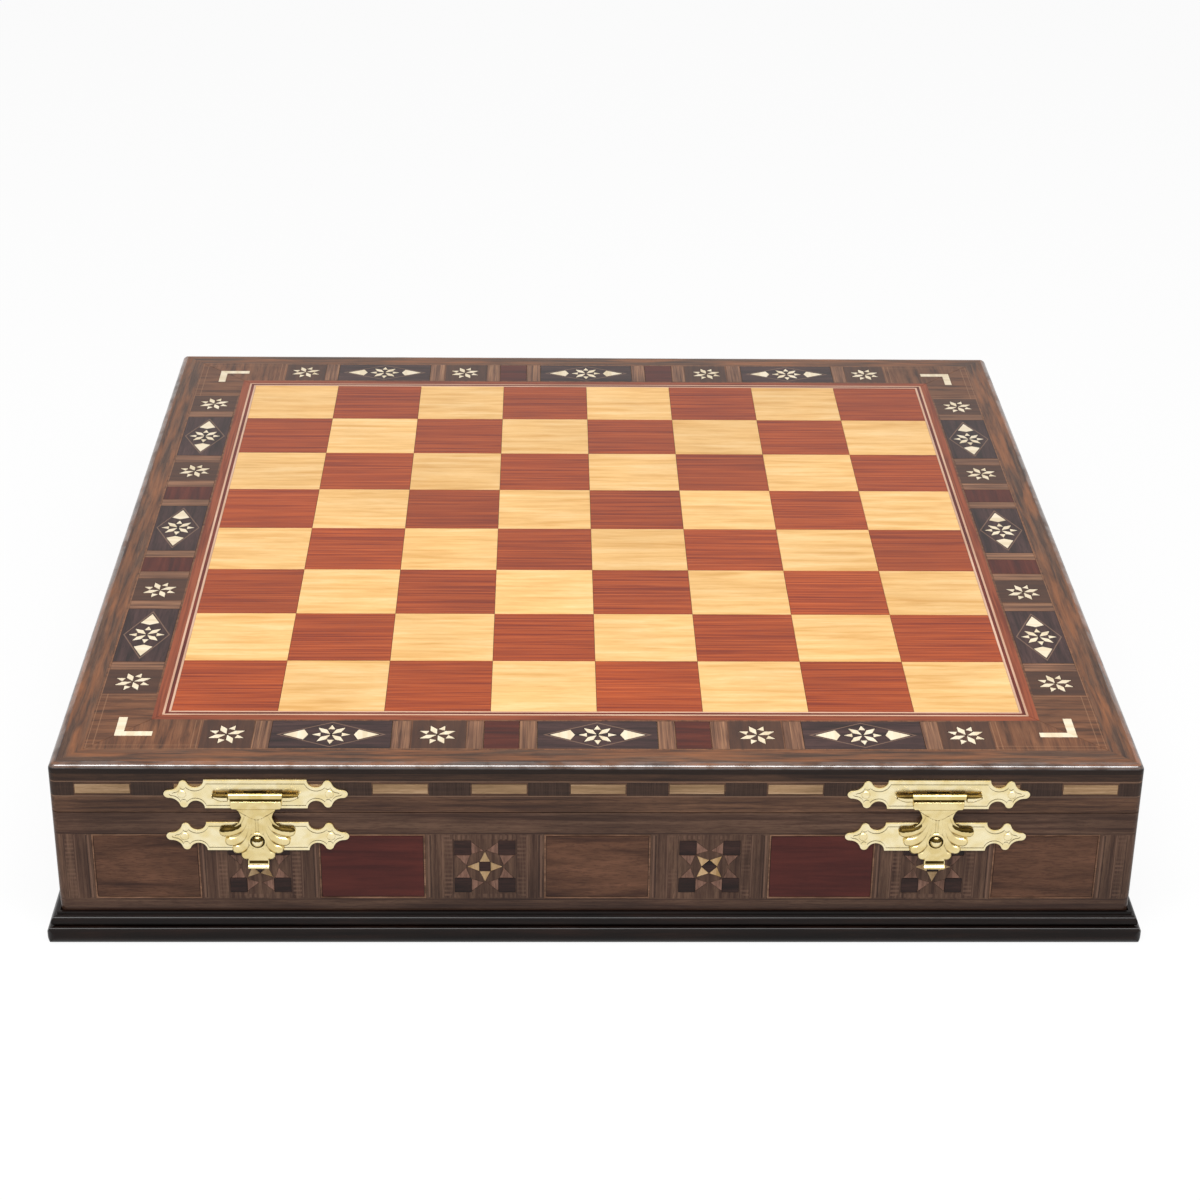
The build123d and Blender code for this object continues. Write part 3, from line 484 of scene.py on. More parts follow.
@dataclass(frozen=True)
class LidRail(LacqueredVeneer):
    """Lid rail: golden figure on top, and on its edge dark cross-grained blocks between two fine strings."""

    pitch: float = 33.4
    bar_half: float = 9.35
    row_height: float = 59.75
    row_half: float = 2.1
    block: str = "#251812"
    block_pale: str = "#3A2A23"
    light: str = "#7C6250"
    gold: str = "#9C6038"
    # shade is the painted dark reflection on the edge's upper part and on its arris
    shade: str = "#120A07"
    top_height: float = 68.5
    arris: Point = (65.6, 67.7)
    arris_reach: float = 182.4
    arris_index: float = 1.9

    def gloss(self, place: Place) -> tuple[Socket, Socket]:
        """Make the rounded edge a stronger mirror, where thick lacquer is polished most, a little uneven.

        Args:
            place: the place that the nodes work from.

        Returns:
            The lacquer's weight and its refractive index.
        """
        tree = place.tree
        edge = add_node(tree, "Math", place.height, self.arris[1] - 0.3, operation="GREATER_THAN")
        outer = add_node(tree, "Math", place.reach, self.arris_reach, operation="GREATER_THAN")
        uneven = place.streaks(place.grain(Grain.ALONG_SIDE), 9.0, 6.0, 41.0, detail=3.0)
        mask = place.overlap(edge, outer, add_node(tree, "MapRange", uneven, 0.35, 0.55, 0.35, 1.0))
        weight, index = (add_node(tree, "Math", mask, high - low, low, operation="MULTIPLY_ADD")
                         for low, high in ((self.lacquer, 1.0), (self.lacquer_index, self.arris_index)))
        return weight, index

    def edge(self, place: Place, colour: Socket) -> Socket:
        """Let the dark blocks and the two strings into the rail's edge.

        Args:
            place: the place that the nodes work from.
            colour: the rail's colour.

        Returns:
            The edge's colour.
        """
        tree, outer = place.tree, place.outer()
        off = add_node(tree, "Math", place.height, self.row_height, operation="SUBTRACT")
        rise = add_node(tree, "Math", off, operation="ABSOLUTE")
        low_edge = add_node(tree, "Math", rise, self.row_half + 0.5, operation="LESS_THAN")
        row = place.overlap(low_edge, outer)
        side = place.from_centre(self.pitch, self.pitch / 2)
        gap = add_node(tree, "Math", side, self.bar_half + 0.3, operation="GREATER_THAN")
        cross = place.streaks(place.grain(Grain.UPRIGHT), 20.0, 0.5, 12.0)
        blocks = add_node(tree, "ValToRGB", cross, stops=((0.4, self.block), (0.7, self.block_pale)))
        colour = place.stain_or_shade(colour, blocks, place.overlap(row, gap), 0.85)
        return place.inlaid(colour, rise, Line(self.row_half + 0.75, 0.3, self.light, 0.55), outer)

    def tint(self, place: Place, colour: Socket) -> Socket:
        """Finish the edge, paint light on top, paint a dark reflection on the edge's upper part and, stronger,
        on its rounded arris, and draw the golden figure on top.

        Args:
            place: the place that the nodes work from.
            colour: the rail's colour.

        Returns:
            The finished colour.
        """
        tree, (low, high) = place.tree, self.arris
        colour = self.edge(place, colour)
        on_top = add_node(tree, "Math", place.height, self.top_height, operation="GREATER_THAN")
        # Painted light: the top is made a tenth lighter than the edge, as more light falls on it.
        painted_top_light = add_node(tree, "HueSaturation", inputs={"Value": 1.1, "Color": colour})
        colour = place.stain_or_shade(colour, painted_top_light, on_top)
        figure = place.streaks(place.grain(Grain.ALONG_SIDE), 34.0, 3.0, 21.0)
        golden = add_node(tree, "MapRange", figure, 0.42, 0.66, 0.0, 0.65)
        colour = place.stain_or_shade(colour, self.gold, place.overlap(golden, on_top))
        # Painted reflection: the upper part of the edge and the rounded arris are darkened where they mirror
        # the dark room.
        painted_reflection_band = place.between(place.height, self.row_height + 3.2, high)
        colour = place.stain_or_shade(colour, self.shade, painted_reflection_band, 0.55)
        return place.stain_or_shade(colour, self.shade, place.between(place.height, low, high), 0.75)


@dataclass(frozen=True)
class BorderGround(LacqueredVeneer):
    """Figured walnut round the playing field: golden and dark patches, darker fields behind plain stars."""

    fields: tuple[Point, Point] = ((45.1, 63.6), (118.1, 135.8))
    band: Point = (154.7, 173.7)
    corner: float = 136.0
    gold: str = "#86583A"
    field_shade: str = "#39231A"
    string: str = "#A77A58"

    def tint(self, place: Place, colour: Socket) -> Socket:
        """Draw the border's figure, its star fields and corner strings.

        Args:
            place: the place that the nodes work from.
            colour: the ground's colour.

        Returns:
            The border's colour.
        """
        figure = place.streaks(place.grain(Grain.ACROSS_SIDE), 26.0, 5.0, 17.0)
        golden = add_node(place.tree, "MapRange", figure, 0.42, 0.66, 0.0, 0.5)
        colour = place.stain_or_shade(colour, self.gold, golden)
        inside = place.between(place.reach, *self.band)
        for field in self.fields:
            mask = place.overlap(place.between(place.aside, *field), inside)
            colour = place.stain_or_shade(colour, self.field_shade, mask, 0.75)
        beyond = add_node(place.tree, "Math", place.aside, self.corner, operation="GREATER_THAN")
        for value, where, width, limit in (
                (place.reach, 171.6, 0.35, beyond), (place.aside, 136.6, 0.35, inside),
                (place.aside, 138.4, 0.35, inside), (place.reach, 173.9, 0.3, 1.0)):
            colour = place.inlaid(colour, value, Line(where, width, self.string, 0.35), limit)
        return colour


@dataclass(frozen=True)
class Stringing(LacqueredVeneer):
    """Pale string round the playing field. The lozenge lines out in the border have darkened."""

    darkened_from: float = 152.0
    dark: str = "#5A4235"

    def tint(self, place: Place, colour: Socket) -> Socket:
        """Return the string, browner in the border."""
        far = add_node(place.tree, "Math", place.reach, self.darkened_from, operation="GREATER_THAN")
        return place.stain_or_shade(colour, self.dark, far, 0.88)


@dataclass(frozen=True)
class CrossBanding(LacqueredVeneer):
    """Cross-grained strips of the border, and the reddish band that runs outside the stringing."""

    red_band: float = 154.05
    red: str = "#93492A"
    deep_red: str = "#6A2C16"

    def tint(self, place: Place, colour: Socket) -> Socket:
        """Draw the red band along the stringing.

        Args:
            place: the place that the nodes work from.
            colour: the strips' colour.

        Returns:
            The finished colour.
        """
        run = place.streaks(place.grain(Grain.ALONG_SIDE), 40.0, 1.2, 5.0)
        red = add_node(place.tree, "ValToRGB", run, stops=((0.35, self.deep_red), (0.6, self.red)))
        near = add_node(place.tree, "Math", place.reach, self.red_band, operation="LESS_THAN")
        return place.stain_or_shade(colour, red, near)


@dataclass(frozen=True)
class PolishedBrass:
    """Thin pressed brass, bright dipped and lacquered: pale yellow mirror, faint ripples, brown painted shade
    in its creases.
    """

    name: str
    bright: str = "#F5E8BF"
    warm: str = "#ECDAA5"
    # crease_shade_tone and crease give the colour and strength of the painted shade in creases
    crease_shade_tone: str = "#5A4420"
    roughness: float = 0.26
    crease: float = 0.0

    def build(self) -> Material:
        """Make the material: cloudy colour, brown painted shade where the surface turns in, and slightly
        uneven polish.

        Returns:
            The finished node material.
        """
        material = bpy.data.materials.new(self.name)
        tree = emptied(material)
        place = Place(tree)
        clouds = place.streaks(place.whole, 5.0, 4.0, 2.0, detail=1.0)
        shade = add_node(tree, "ValToRGB", clouds, stops=((0.35, self.warm), (0.6, self.bright)))
        # Painted shade: the brass is browned where pointiness says the surface turns in.
        if self.crease:
            hollow = add_node(tree, "NewGeometry", out="Pointiness")
            crease_shade_mask = add_node(tree, "MapRange", hollow, 0.495, 0.46, 0.0, self.crease)
            shade = place.stain_or_shade(shade, self.crease_shade_tone, crease_shade_mask)
        smooth, worn = self.roughness * 0.9, self.roughness * 1.2
        rough = add_node(tree, "MapRange", place.cloud(3.0, 9.0), 0.3, 0.8, smooth, worn)
        relief = add_node(tree, "Bump", inputs={
            "Strength": 0.1, "Distance": 0.06 * MM, "Height": place.cloud(3.5, 6.0, detail=0.0)})
        shader = add_node(tree, "BsdfPrincipled", inputs={
            "Base Color": shade, "Metallic": 1.0, "Roughness": rough, "Normal": relief})
        add_node(tree, "OutputMaterial", shader)
        return material


@dataclass(frozen=True)
class PressedFelt:
    """Pressed wool felt, dyed wine red: matt, with a soft pale bloom and slightly crushed, darker patches."""

    name: str
    pile: str = "#4A0D15"
    crushed: str = "#400A12"

    def build(self) -> Material:
        """Make the material.

        Returns:
            The finished node material.
        """
        material = bpy.data.materials.new(self.name)
        tree = emptied(material)
        place = Place(tree)
        patches = place.streaks(place.whole, 14.0, 11.0, 5.0, detail=3.0)
        colour = add_node(tree, "ValToRGB", patches, stops=((0.4, self.crushed), (0.6, self.pile)))
        # Real wool fibres are 0.02 mm thick; they are drawn 0.5 mm wide so that they show.
        relief = add_node(tree, "Bump", inputs={
            "Strength": 0.5, "Distance": 0.15 * MM, "Height": place.cloud(0.5, 7.0, detail=2.0)})
        shader = add_node(tree, "BsdfPrincipled", inputs={
            "Base Color": colour, "Roughness": 0.95, "Specular IOR Level": 0.1, "Sheen Weight": 0.5,
            "Sheen Roughness": 0.5, "Normal": relief})
        add_node(tree, "OutputMaterial", shader)
        return material


# ---------------------------------------------------------------- modelling by hand
def select_only(*pieces: Piece) -> None:
    """Select these pieces and nothing else.

    Args:
        pieces: the pieces, the active one first.
    """
    bpy.ops.object.select_all(action="DESELECT")
    for piece in pieces:
        piece.select_set(True)
    bpy.context.view_layer.objects.active = pieces[0]


def added(primitive: Callable, name: str, **settings) -> Piece:
    """Add a primitive and put its place into its mesh.

    Args:
        primitive: the operator that adds it.
        name: the piece's name.
        settings: the operator's settings, in metres.

    Returns:
        The new piece, at the origin.
    """
    bpy.ops.object.select_all(action="DESELECT")
    size = settings.pop("scale", (1, 1, 1))
    primitive(**settings)
    piece = bpy.context.active_object
    piece.name, piece.scale = name, size
    select_only(piece)
    bpy.ops.object.transform_apply(location=True, rotation=True, scale=True)
    return piece


def cylinder(name: str, radius: float, depth: float, where: Vector, turn: tuple = TO_SIDE, vertices: int = 48,
             **settings) -> Piece:
    """Add a cylinder, sideways unless it is turned another way."""
    return added(bpy.ops.mesh.primitive_cylinder_add, name, vertices=vertices, radius=radius * MM,
                 depth=depth * MM, rotation=turn, location=where, **settings)


def cone(name: str, radii: Point, depth: float, where: Vector, turn: tuple, vertices: int) -> Piece:
    """Add a blunt cone."""
    return added(bpy.ops.mesh.primitive_cone_add, name, vertices=vertices, radius1=radii[0] * MM,
                 radius2=radii[1] * MM, depth=depth * MM, rotation=turn, location=where)


def ball(name: str, radius: float, where: Vector, rings: int, turn: tuple = TO_FRONT) -> Piece:
    """Add a ball, its poles to the front and the back unless it is turned another way."""
    return added(bpy.ops.mesh.primitive_uv_sphere_add, name, segments=2 * rings, ring_count=rings,
                 radius=radius * MM, rotation=turn, location=where)


def block(name: str, size: tuple[float, float, float], where: Vector) -> Piece:
    """Add a block."""
    return added(bpy.ops.mesh.primitive_cube_add, name, size=1, location=where,
                 scale=[side * MM for side in size])


def modified(piece: Piece, kind: str, **settings) -> Piece:
    """Finish a piece with one modifier, applied.

    Args:
        piece: the piece.
        kind: the modifier's type.
        settings: its settings.

    Returns:
        The same piece.
    """
    select_only(piece)
    modifier = piece.modifiers.new(kind.title(), kind)
    for name, value in settings.items():
        setattr(modifier, name, value)
    bpy.ops.object.modifier_apply(modifier=modifier.name)
    return piece


def cut_away(piece: Piece, cutter: Piece) -> Piece:
    """Cut one piece out of another, and remove the cutter.

    Args:
        piece: the piece.
        cutter: what is cut out of it.

    Returns:
        The same piece.
    """
    modified(piece, "BOOLEAN", object=cutter, operation="DIFFERENCE", solver="MANIFOLD")
    bpy.data.objects.remove(cutter)
    return piece


def joined(name: str, pieces: list[Piece]) -> Piece:
    """Join pieces into one.

    Args:
        name: its new name.
        pieces: what is joined.

    Returns:
        The joined piece.
    """
    select_only(*pieces)
    bpy.ops.object.join()
    piece = bpy.context.active_object
    piece.name = name
    return piece


def copied(piece: Piece, name: str, shift: Vector) -> Piece:
    """Copy a piece with its own mesh.

    Args:
        piece: the piece.
        name: the copy's name.
        shift: how far the copy is moved, in metres.

    Returns:
        The copy, at the origin.
    """
    select_only(piece)
    bpy.ops.object.duplicate(linked=False)
    twin = bpy.context.active_object
    twin.name = name
    bpy.ops.transform.translate(value=shift)
    bpy.ops.object.transform_apply(location=True, rotation=True, scale=True)
    return twin


def row_of(piece: Piece, name: str, shifts: Iterable[float]) -> Piece:
    """Join a piece and its copies to the right of it into one under a new name."""
    return joined(name, [piece] + [copied(piece, f"{name}_copy", RIGHT * (shift * MM)) for shift in shifts])


@contextmanager
def editing(piece: Piece, mode: str = "FACE") -> Iterator[bmesh.types.BMesh]:
    """Open a piece in edit mode with nothing selected.

    Args:
        piece: the piece.
        mode: what is selected in it: VERT, EDGE or FACE.

    Returns:
        Its mesh, while it is open.
    """
    select_only(piece)
    bpy.ops.object.mode_set(mode="EDIT")
    bpy.ops.mesh.select_mode(type=mode)
    bpy.ops.mesh.select_all(action="DESELECT")
    yield bmesh.from_edit_mesh(piece.data)
    bpy.ops.object.mode_set(mode="OBJECT")


def pick(piece: Piece, parts: Iterable, test: Callable) -> None:
    """Select faces or edges of a piece in edit mode.

    Args:
        piece: the piece.
        parts: its faces or edges.
        test: says which of them to select.
    """
    for part in parts:
        part.select_set(test(part))
    bmesh.update_edit_mesh(piece.data)


def on_plane(point: Vector, normal: Vector) -> Callable:
    """Return a test for faces or edges that lie on a plane."""
    return lambda part: all(abs((corner.co - point).dot(normal)) < NEAR for corner in part.verts)


def keep_part(piece: Piece, point: Vector, normal: Vector, fill: bool = True) -> Piece:
    """Cut a piece along a plane and keep one side.

    Args:
        piece: the piece.
        point: a point of the plane, in metres.
        normal: points to the side that goes.
        fill: whether the cut is closed.

    Returns:
        The same piece.
    """
    with editing(piece):
        bpy.ops.mesh.select_all(action="SELECT")
        bpy.ops.mesh.bisect(plane_co=point, plane_no=normal, clear_outer=True, use_fill=fill)
    return piece


def smoothed(piece: Piece, degrees: float = 40.0) -> Piece:
    """Shade a piece smooth except at its sharp edges.

    Args:
        piece: the piece.
        degrees: the angle from which an edge is sharp.

    Returns:
        The same piece.
    """
    select_only(piece)
    bpy.ops.object.shade_smooth_by_angle(angle=math.radians(degrees))
    return piece


def coat(piece: Piece, *materials: Material) -> Piece:
    """Give a piece its materials and no others.

    Args:
        piece: the piece.
        materials: one for each slot, in order.

    Returns:
        The same piece.
    """
    piece.data.materials.clear()
    for material in materials:
        piece.data.materials.append(material)
    return piece


def mark(piece: Piece, slot_of: Callable[[bpy.types.MeshPolygon], int]) -> None:
    """Give each face the material slot that a function says."""
    for polygon in piece.data.polygons:
        polygon.material_index = int(slot_of(polygon))


def arc(start: Point, middle: Point, end: Point, steps: int) -> list[Point]:
    """Points on the circle through three points, without the first one.

    Args:
        start: where the arc starts.
        middle: a point that it passes.
        end: where it ends.
        steps: how many points to return.

    Returns:
        The points, the end among them.
    """
    (ax, ay), (bx, by), (cx, cy) = start, middle, end
    d = 2 * (ax * (by - cy) + bx * (cy - ay) + cx * (ay - by))
    a, b, c = ax * ax + ay * ay, bx * bx + by * by, cx * cx + cy * cy
    ux = (a * (by - cy) + b * (cy - ay) + c * (ay - by)) / d
    uy = (a * (cx - bx) + b * (ax - cx) + c * (bx - ax)) / d
    radius = math.hypot(ax - ux, ay - uy)
    first, last = math.atan2(ay - uy, ax - ux), math.atan2(cy - uy, cx - ux)
    turn = (last - first + math.pi) % (2 * math.pi) - math.pi
    angles = [first + turn * i / steps for i in range(1, steps + 1)]
    return [(ux + radius * math.cos(angle), uy + radius * math.sin(angle)) for angle in angles]


def strip(name: str, start: Vector, run: Vector, stations: list[Point], thickness: float) -> Piece:
    """Model a flat symmetric sheet, extruded station by station, then given its thickness to the front.

    Args:
        name: the piece's name.
        start: where the middle line starts, at the back of the sheet, in metres.
        run: direction of the middle line, along X or Z.
        stations: (distance along the line, half width).
        thickness: of the sheet.

    Returns:
        The closed sheet.
    """
    (first, half), *rest = stations
    across = Vector((abs(run.z), 0, abs(run.x)))
    step = (rest[0][0] - first) * MM
    middle = start + run * (first * MM + step / 2)
    full = 2 * half * MM
    size = (abs(run.x) * step + across.x * full, abs(run.z) * step + across.z * full, 1)
    sheet = added(bpy.ops.mesh.primitive_plane_add, name, size=1, location=middle, rotation=TO_FRONT,
                  scale=size)
    with editing(sheet, "EDGE") as mesh:
        pick(sheet, mesh.edges, on_plane(middle + run * (step / 2), run))
        place, width = rest[0][0], half
        for number, (distance, new_width) in enumerate(rest):
            if number:
                shift = run * ((distance - place) * MM)
                bpy.ops.mesh.extrude_region_move(TRANSFORM_OT_translate={"value": shift})
            factor = new_width / width
            bpy.ops.transform.resize(value=[factor if a else 1.0 for a in across],
                                     center_override=start + run * (distance * MM))
            place, width = distance, new_width
        bpy.ops.mesh.select_all(action="SELECT")
        bpy.ops.mesh.normals_make_consistent(inside=False)
    if sheet.data.polygons[0].normal.y > 0:
        with editing(sheet):
            bpy.ops.mesh.select_all(action="SELECT")
            bpy.ops.mesh.flip_normals()
    return modified(sheet, "SOLIDIFY", thickness=thickness * MM, offset=1.0, use_even_offset=True)


def dress(piece: Piece, material: Material, body: str, nodes: list[str]) -> None:
    """Give a new piece its finish and set it on its body in place of CAD nodes.

    Args:
        piece: the finished piece.
        material: its finish, or the first of them where it has several.
        body: the body that it moves with.
        nodes: the CAD nodes that it stands for.
    """
    if not piece.data.materials:
        piece.data.materials.append(material)
    piece.data.materials[0] = material
    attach(piece, body)
    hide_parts(*nodes)
    log.info("%s: %d faces on %s", piece.name, len(piece.data.polygons), body)


# ---------------------------------------------------------------- clasps
@dataclass
class Clasps:
    """Two pressed brass clasps: plates, louvred eyes, fluted hasps, ball studs and domed nails.

    `plain`, `pressed`, `hollow` and `drawn` are the finishes of plates, hasps, painted shade and dark
    reflections, and rolls.
    """

    plain: Material
    pressed: Material
    hollow: Material
    drawn: Material
    place: float = 115.5
    face: float = 185.0
    upper: float = 58.1
    lower: float = 41.4
    stud: float = 40.4
    sheet: float = 0.8
    plate_half: float = 5.6
    straight: float = 17.3
    nail_place: float = 24.8
    nail_radius: float = 1.5
    pin_offset: float = 2.0
    barrel_half: float = 9.0
    barrel_radius: float = 1.15
    barrel_top: float = 74.0            # degrees above the front, from where painted shade darkens the roll
    barrel_low_shade: Point = (-52.0, -34.0)  # degrees between which painted shade darkens it low at the front
    pin_bore: float = 0.87
    through: float = 24.0               # longer than anything that it cuts through
    eye_radius: float = 1.9
    eye_start: float = 9.3
    eye_length: float = 2.2
    eye_taper: tuple[Point, ...] = ((1.1, 0.86), (1.0, 0.72), (0.9, 0.5), (0.4, 0.25))
    hasp_back: float = 1.1
    ball_radius: float = 2.1
    ball_play: float = 0.2
    roll_shadow: Point = (1.1, 1.95)    # below the pin, like the two rows that follow: bands of painted shade
    flute_hollow: Point = (10.0, 14.2)
    lip_crease: Point = (25.2, 26.4)
    voxel: float = 0.16
    flutes: tuple[Point, ...] = ((11.2, 14.4), (9.4, 18.1), (7.1, 21.2), (4.2, 23.6))

    def spot(self, aside: float, height: float, forward: float) -> Vector:
        """Return a point of the left clasp in metres: how far aside, above the floor, before the face."""
        return Vector((-self.place + aside, -self.face - forward, height)) * MM

    def plate_stations(self, inset: float) -> list[Point]:
        """Draw the half outline of a plate: straight edge, scallop, nail lobe and point.

        Args:
            inset: how far it is drawn in all round.

        Returns:
            (distance from the middle, half width) of its points.
        """
        half, lobe_x = self.plate_half - inset, self.nail_place - 1.9 + 0.35 * inset
        shoulder = (self.straight - 0.45 * inset, half)
        lobe, waist = (lobe_x, 4.3 - inset), (self.nail_place + 0.8 - 0.2 * inset, 4.2 - inset)
        end = (29.2 - 1.3 * inset, max(1.5 - 0.7 * inset, 0.5))
        return [(0.0, half), shoulder,
                *arc(shoulder, (self.straight + 3.0, half - 3.0 + 0.15 * inset), lobe, 14),
                *arc(lobe, (self.nail_place - 0.5, 5.3 - inset), waist, 8),
                *arc(waist, (self.nail_place + 2.1 - 0.5 * inset, 2.3 - 0.75 * inset), end, 8),
                *arc(end, (30.5 - 1.6 * inset, 0.7 * end[1]), (30.98 - 1.7 * inset, 0.15), 5)]

    def leaf(self, name: str, height: float, inset: float, start: float, thickness: float) -> Piece:
        """Model one layer of a plate.

        Args:
            name: the piece's name.
            height: of its middle line above the floor.
            inset: how far it is smaller than the plate all round.
            start: its back, in front of the box face.
            thickness: towards the front.

        Returns:
            The closed layer of the left clasp.
        """
        layer = strip(name, self.spot(0, height, start), RIGHT, self.plate_stations(inset), thickness)
        coat(layer, self.plain, self.hollow)
        centre = added(bpy.ops.object.empty_add, "plate_middle", location=(0, 0, 0))
        centre.location = self.spot(0, height, 0)
        bpy.context.view_layer.update()
        with editing(layer) as mesh:
            pick(layer, mesh.faces, on_plane(centre.location, RIGHT))
            bpy.ops.mesh.delete(type="FACE")
        modified(layer, "MIRROR", mirror_object=centre, use_clip=True, merge_threshold=1e-6)
        bpy.data.objects.remove(centre)
        return layer

    def plate(self, height: float, windows: tuple = ()) -> list[Piece]:
        """Model one plate: a thin base with an eased rim, and the pressed line that follows its outline.

        Args:
            height: of its middle line above the floor.
            windows: (low, high, left, right) of openings, from the plate's middle.

        Returns:
            The base and the face of the left clasp's plate.
        """
        base = self.leaf("plate_base", height, 0.0, 0.0, self.sheet - 0.2)
        face = self.leaf("plate_face", height, 0.22, 0.1, self.sheet - 0.1)
        line = self.leaf("line", height, 1.1, self.sheet - 0.28, 1.0)
        cut_away(line, self.leaf("inside_line", height, 1.68, self.sheet - 0.6, 3.0))
        # Painted shade: the line's faces take the dark brass, which the cut leaves on the walls of the groove.
        mark(line, lambda polygon: 1)
        cut_away(face, line)
        for low, high, left, right in windows:
            for layer in (base, face):
                cut_away(layer, block("window", (right - left, 4, high - low),
                                      self.spot((left + right) / 2, height + (low + high) / 2, 0)))
        return [base, face]

    def eye(self, end: int) -> Piece:
        """Model one louvred eye that holds the pin, open at the top and pointed outwards.

        Args:
            end: -1 for the left eye and 1 for the right one.

        Returns:
            The eye of the left clasp, a thin shell.
        """
        middle = self.spot(end * (self.eye_start + self.eye_length / 2), self.upper, self.pin_offset)
        eye = cylinder("eye", self.eye_radius, self.eye_length, middle, vertices=40, end_fill_type="NGON")
        coat(eye, self.plain, self.hollow)
        edge = self.spot(end * (self.eye_start + self.eye_length), self.upper, self.pin_offset)
        with editing(eye) as mesh:
            pick(eye, mesh.faces, on_plane(edge, RIGHT))
            for step, factor in self.eye_taper:
                bpy.ops.mesh.extrude_region_move(TRANSFORM_OT_translate={"value": (end * step * MM, 0, 0)})
                edge.x += end * step * MM
                bpy.ops.transform.resize(value=(1, factor, factor), center_override=edge)
        with editing(eye) as mesh:
            pick(eye, mesh.faces, lambda face: len(face.verts) > 4)
            bpy.ops.mesh.delete(type="ONLY_FACE")
        keep_part(eye, self.spot(0, 0, self.sheet + 0.05), BACK)
        keep_part(eye, self.spot(0, self.upper + 0.2, 0), UP, fill=False)
        # Painted shade: the inner side of the shell takes the dark brass.
        return modified(eye, "SOLIDIFY", thickness=0.3 * MM, offset=-1.0, material_offset=1)

    def upper_plate(self) -> Piece:
        """Model the lid's plate with the window for the roll and its two eyes."""
        plate = self.plate(self.upper, ((-1.0, 0.55, -9.0, 9.0), (-0.5, 1.2, -4.0, 3.7)))
        return smoothed(joined("upper_clasp_plate_left", [*plate, self.eye(-1), self.eye(1)]), 35)

    def lower_plate(self) -> Piece:
        """Model the plate on the box front."""
        return smoothed(joined("lower_clasp_plate_left", self.plate(self.lower)), 35)

    def flute(self, aside: float, drop: float) -> list[Piece]:
        """Model one flute: a curved horn that swells towards a round tip.

        Args:
            aside: how far the tip is to one side.
            drop: how far the tip is below the pin.

        Returns:
            The horn and its round end.
        """
        depth = self.hasp_back + 0.4
        tip = self.spot(aside, self.upper - drop, depth)
        root = self.spot(0.3 * aside, self.upper - 8.0, depth)
        bend = self.spot(0.34 * aside, self.upper - drop + 0.2, depth)
        bpy.ops.object.select_all(action="DESELECT")
        bpy.ops.curve.primitive_bezier_curve_add()
        horn = bpy.context.active_object
        horn.data.bevel_depth, horn.data.bevel_resolution = MM, 6
        horn.data.use_fill_caps, horn.data.resolution_u = True, 16
        for point, where, radius in zip(horn.data.splines[0].bezier_points, (root, tip), (0.9, 1.85)):
            point.co, point.radius = where, radius
            point.handle_left_type = point.handle_right_type = "FREE"
            point.handle_left = point.handle_right = where + (bend - where) * 2 / 3
        horn.location = (0, 0, 0)
        bpy.ops.object.convert(target="MESH")
        return [bpy.data.objects[horn.name], ball("flute_end", 1.75, tip, rings=12, turn=(0, 0, 0))]

    def fan(self) -> Piece:
        """Model the eight flutes, fused and cut flat at the back.

        Returns:
            The fan of the left clasp.
        """
        horns = [part for aside, drop in self.flutes for end in (-1, 1)
                 for part in self.flute(end * aside, drop)]
        fan = joined("fan", horns)
        with editing(fan):
            bpy.ops.mesh.select_all(action="SELECT")
            bpy.ops.transform.resize(value=(1, 0.8, 1),
                                     center_override=self.spot(0, self.upper, self.hasp_back))
        fan = modified(fan, "REMESH", mode="VOXEL", voxel_size=self.voxel * MM)
        return keep_part(fan, self.spot(0, 0, self.hasp_back), BACK)

    def pressing(self) -> Piece:
        """Model the hasp below its roll: apron, shield, neck, fan, ring and lip, pressed from one sheet.

        Returns:
            The left clasp's pressing, with the holes for the ball and for the pin's roll.
        """
        back, pin = self.hasp_back, self.spot(0, self.upper, self.pin_offset)
        outline = [(0.3, 8.75), (3.8, 8.75), *arc((3.8, 8.75), (5.6, 6.5), (8.6, 5.2), 8),
                   *arc((8.6, 5.2), (11.0, 6.4), (12.9, 10.2), 8), (18.1, 9.2), (23.4, 4.0), (24.2, 1.5)]
        layers = (("sheet", 0.0, outline, self.sheet),
                  ("apron", 0.4, [(1.95, 8.6), (4.3, 8.6), (4.9, 8.1)], 1.15),
                  ("shield", 0.4, [(5.0, 7.0), (6.2, 5.6), (7.6, 3.4), (9.2, 0.3)], 0.85),
                  ("tab", 0.3, [(20.6, 1.6), (23.0, 2.5), (25.6, 3.6), (26.9, 3.6)], 1.2))
        parts = [strip(name, self.spot(0, self.upper, back + lift), -UP, stations, thickness)
                 for name, lift, stations, thickness in layers]
        parts += [added(bpy.ops.mesh.primitive_torus_add, "ring", major_radius=2.75 * MM,
                        minor_radius=0.5 * MM, major_segments=40, minor_segments=12, rotation=TO_FRONT,
                        location=self.spot(0, self.stud, back + 1.0)),
                  cylinder("disc", 2.9, 0.9, self.spot(0, self.stud, back + 0.45), TO_FRONT, vertices=40)]
        parts += [cylinder("lip", radius, 7.2, self.spot(0, self.upper - drop, forward), vertices=24)
                  for drop, forward, radius in ((26.5, 2.0, 0.75), (27.4, 2.6, 0.55), (27.75, 3.0, 0.55))]
        hasp = joined("hasp_left_pressed", [*parts, self.fan()])
        modified(hasp, "REMESH", mode="VOXEL", voxel_size=self.voxel * MM)
        modified(hasp, "SMOOTH", factor=0.5, iterations=2)
        hole = self.ball_radius + self.ball_play
        cut_away(hasp, cylinder("bore", hole, self.through, self.spot(0, self.stud, back), TO_FRONT))
        return cut_away(hasp, cylinder("bore", self.pin_bore, self.through, pin))

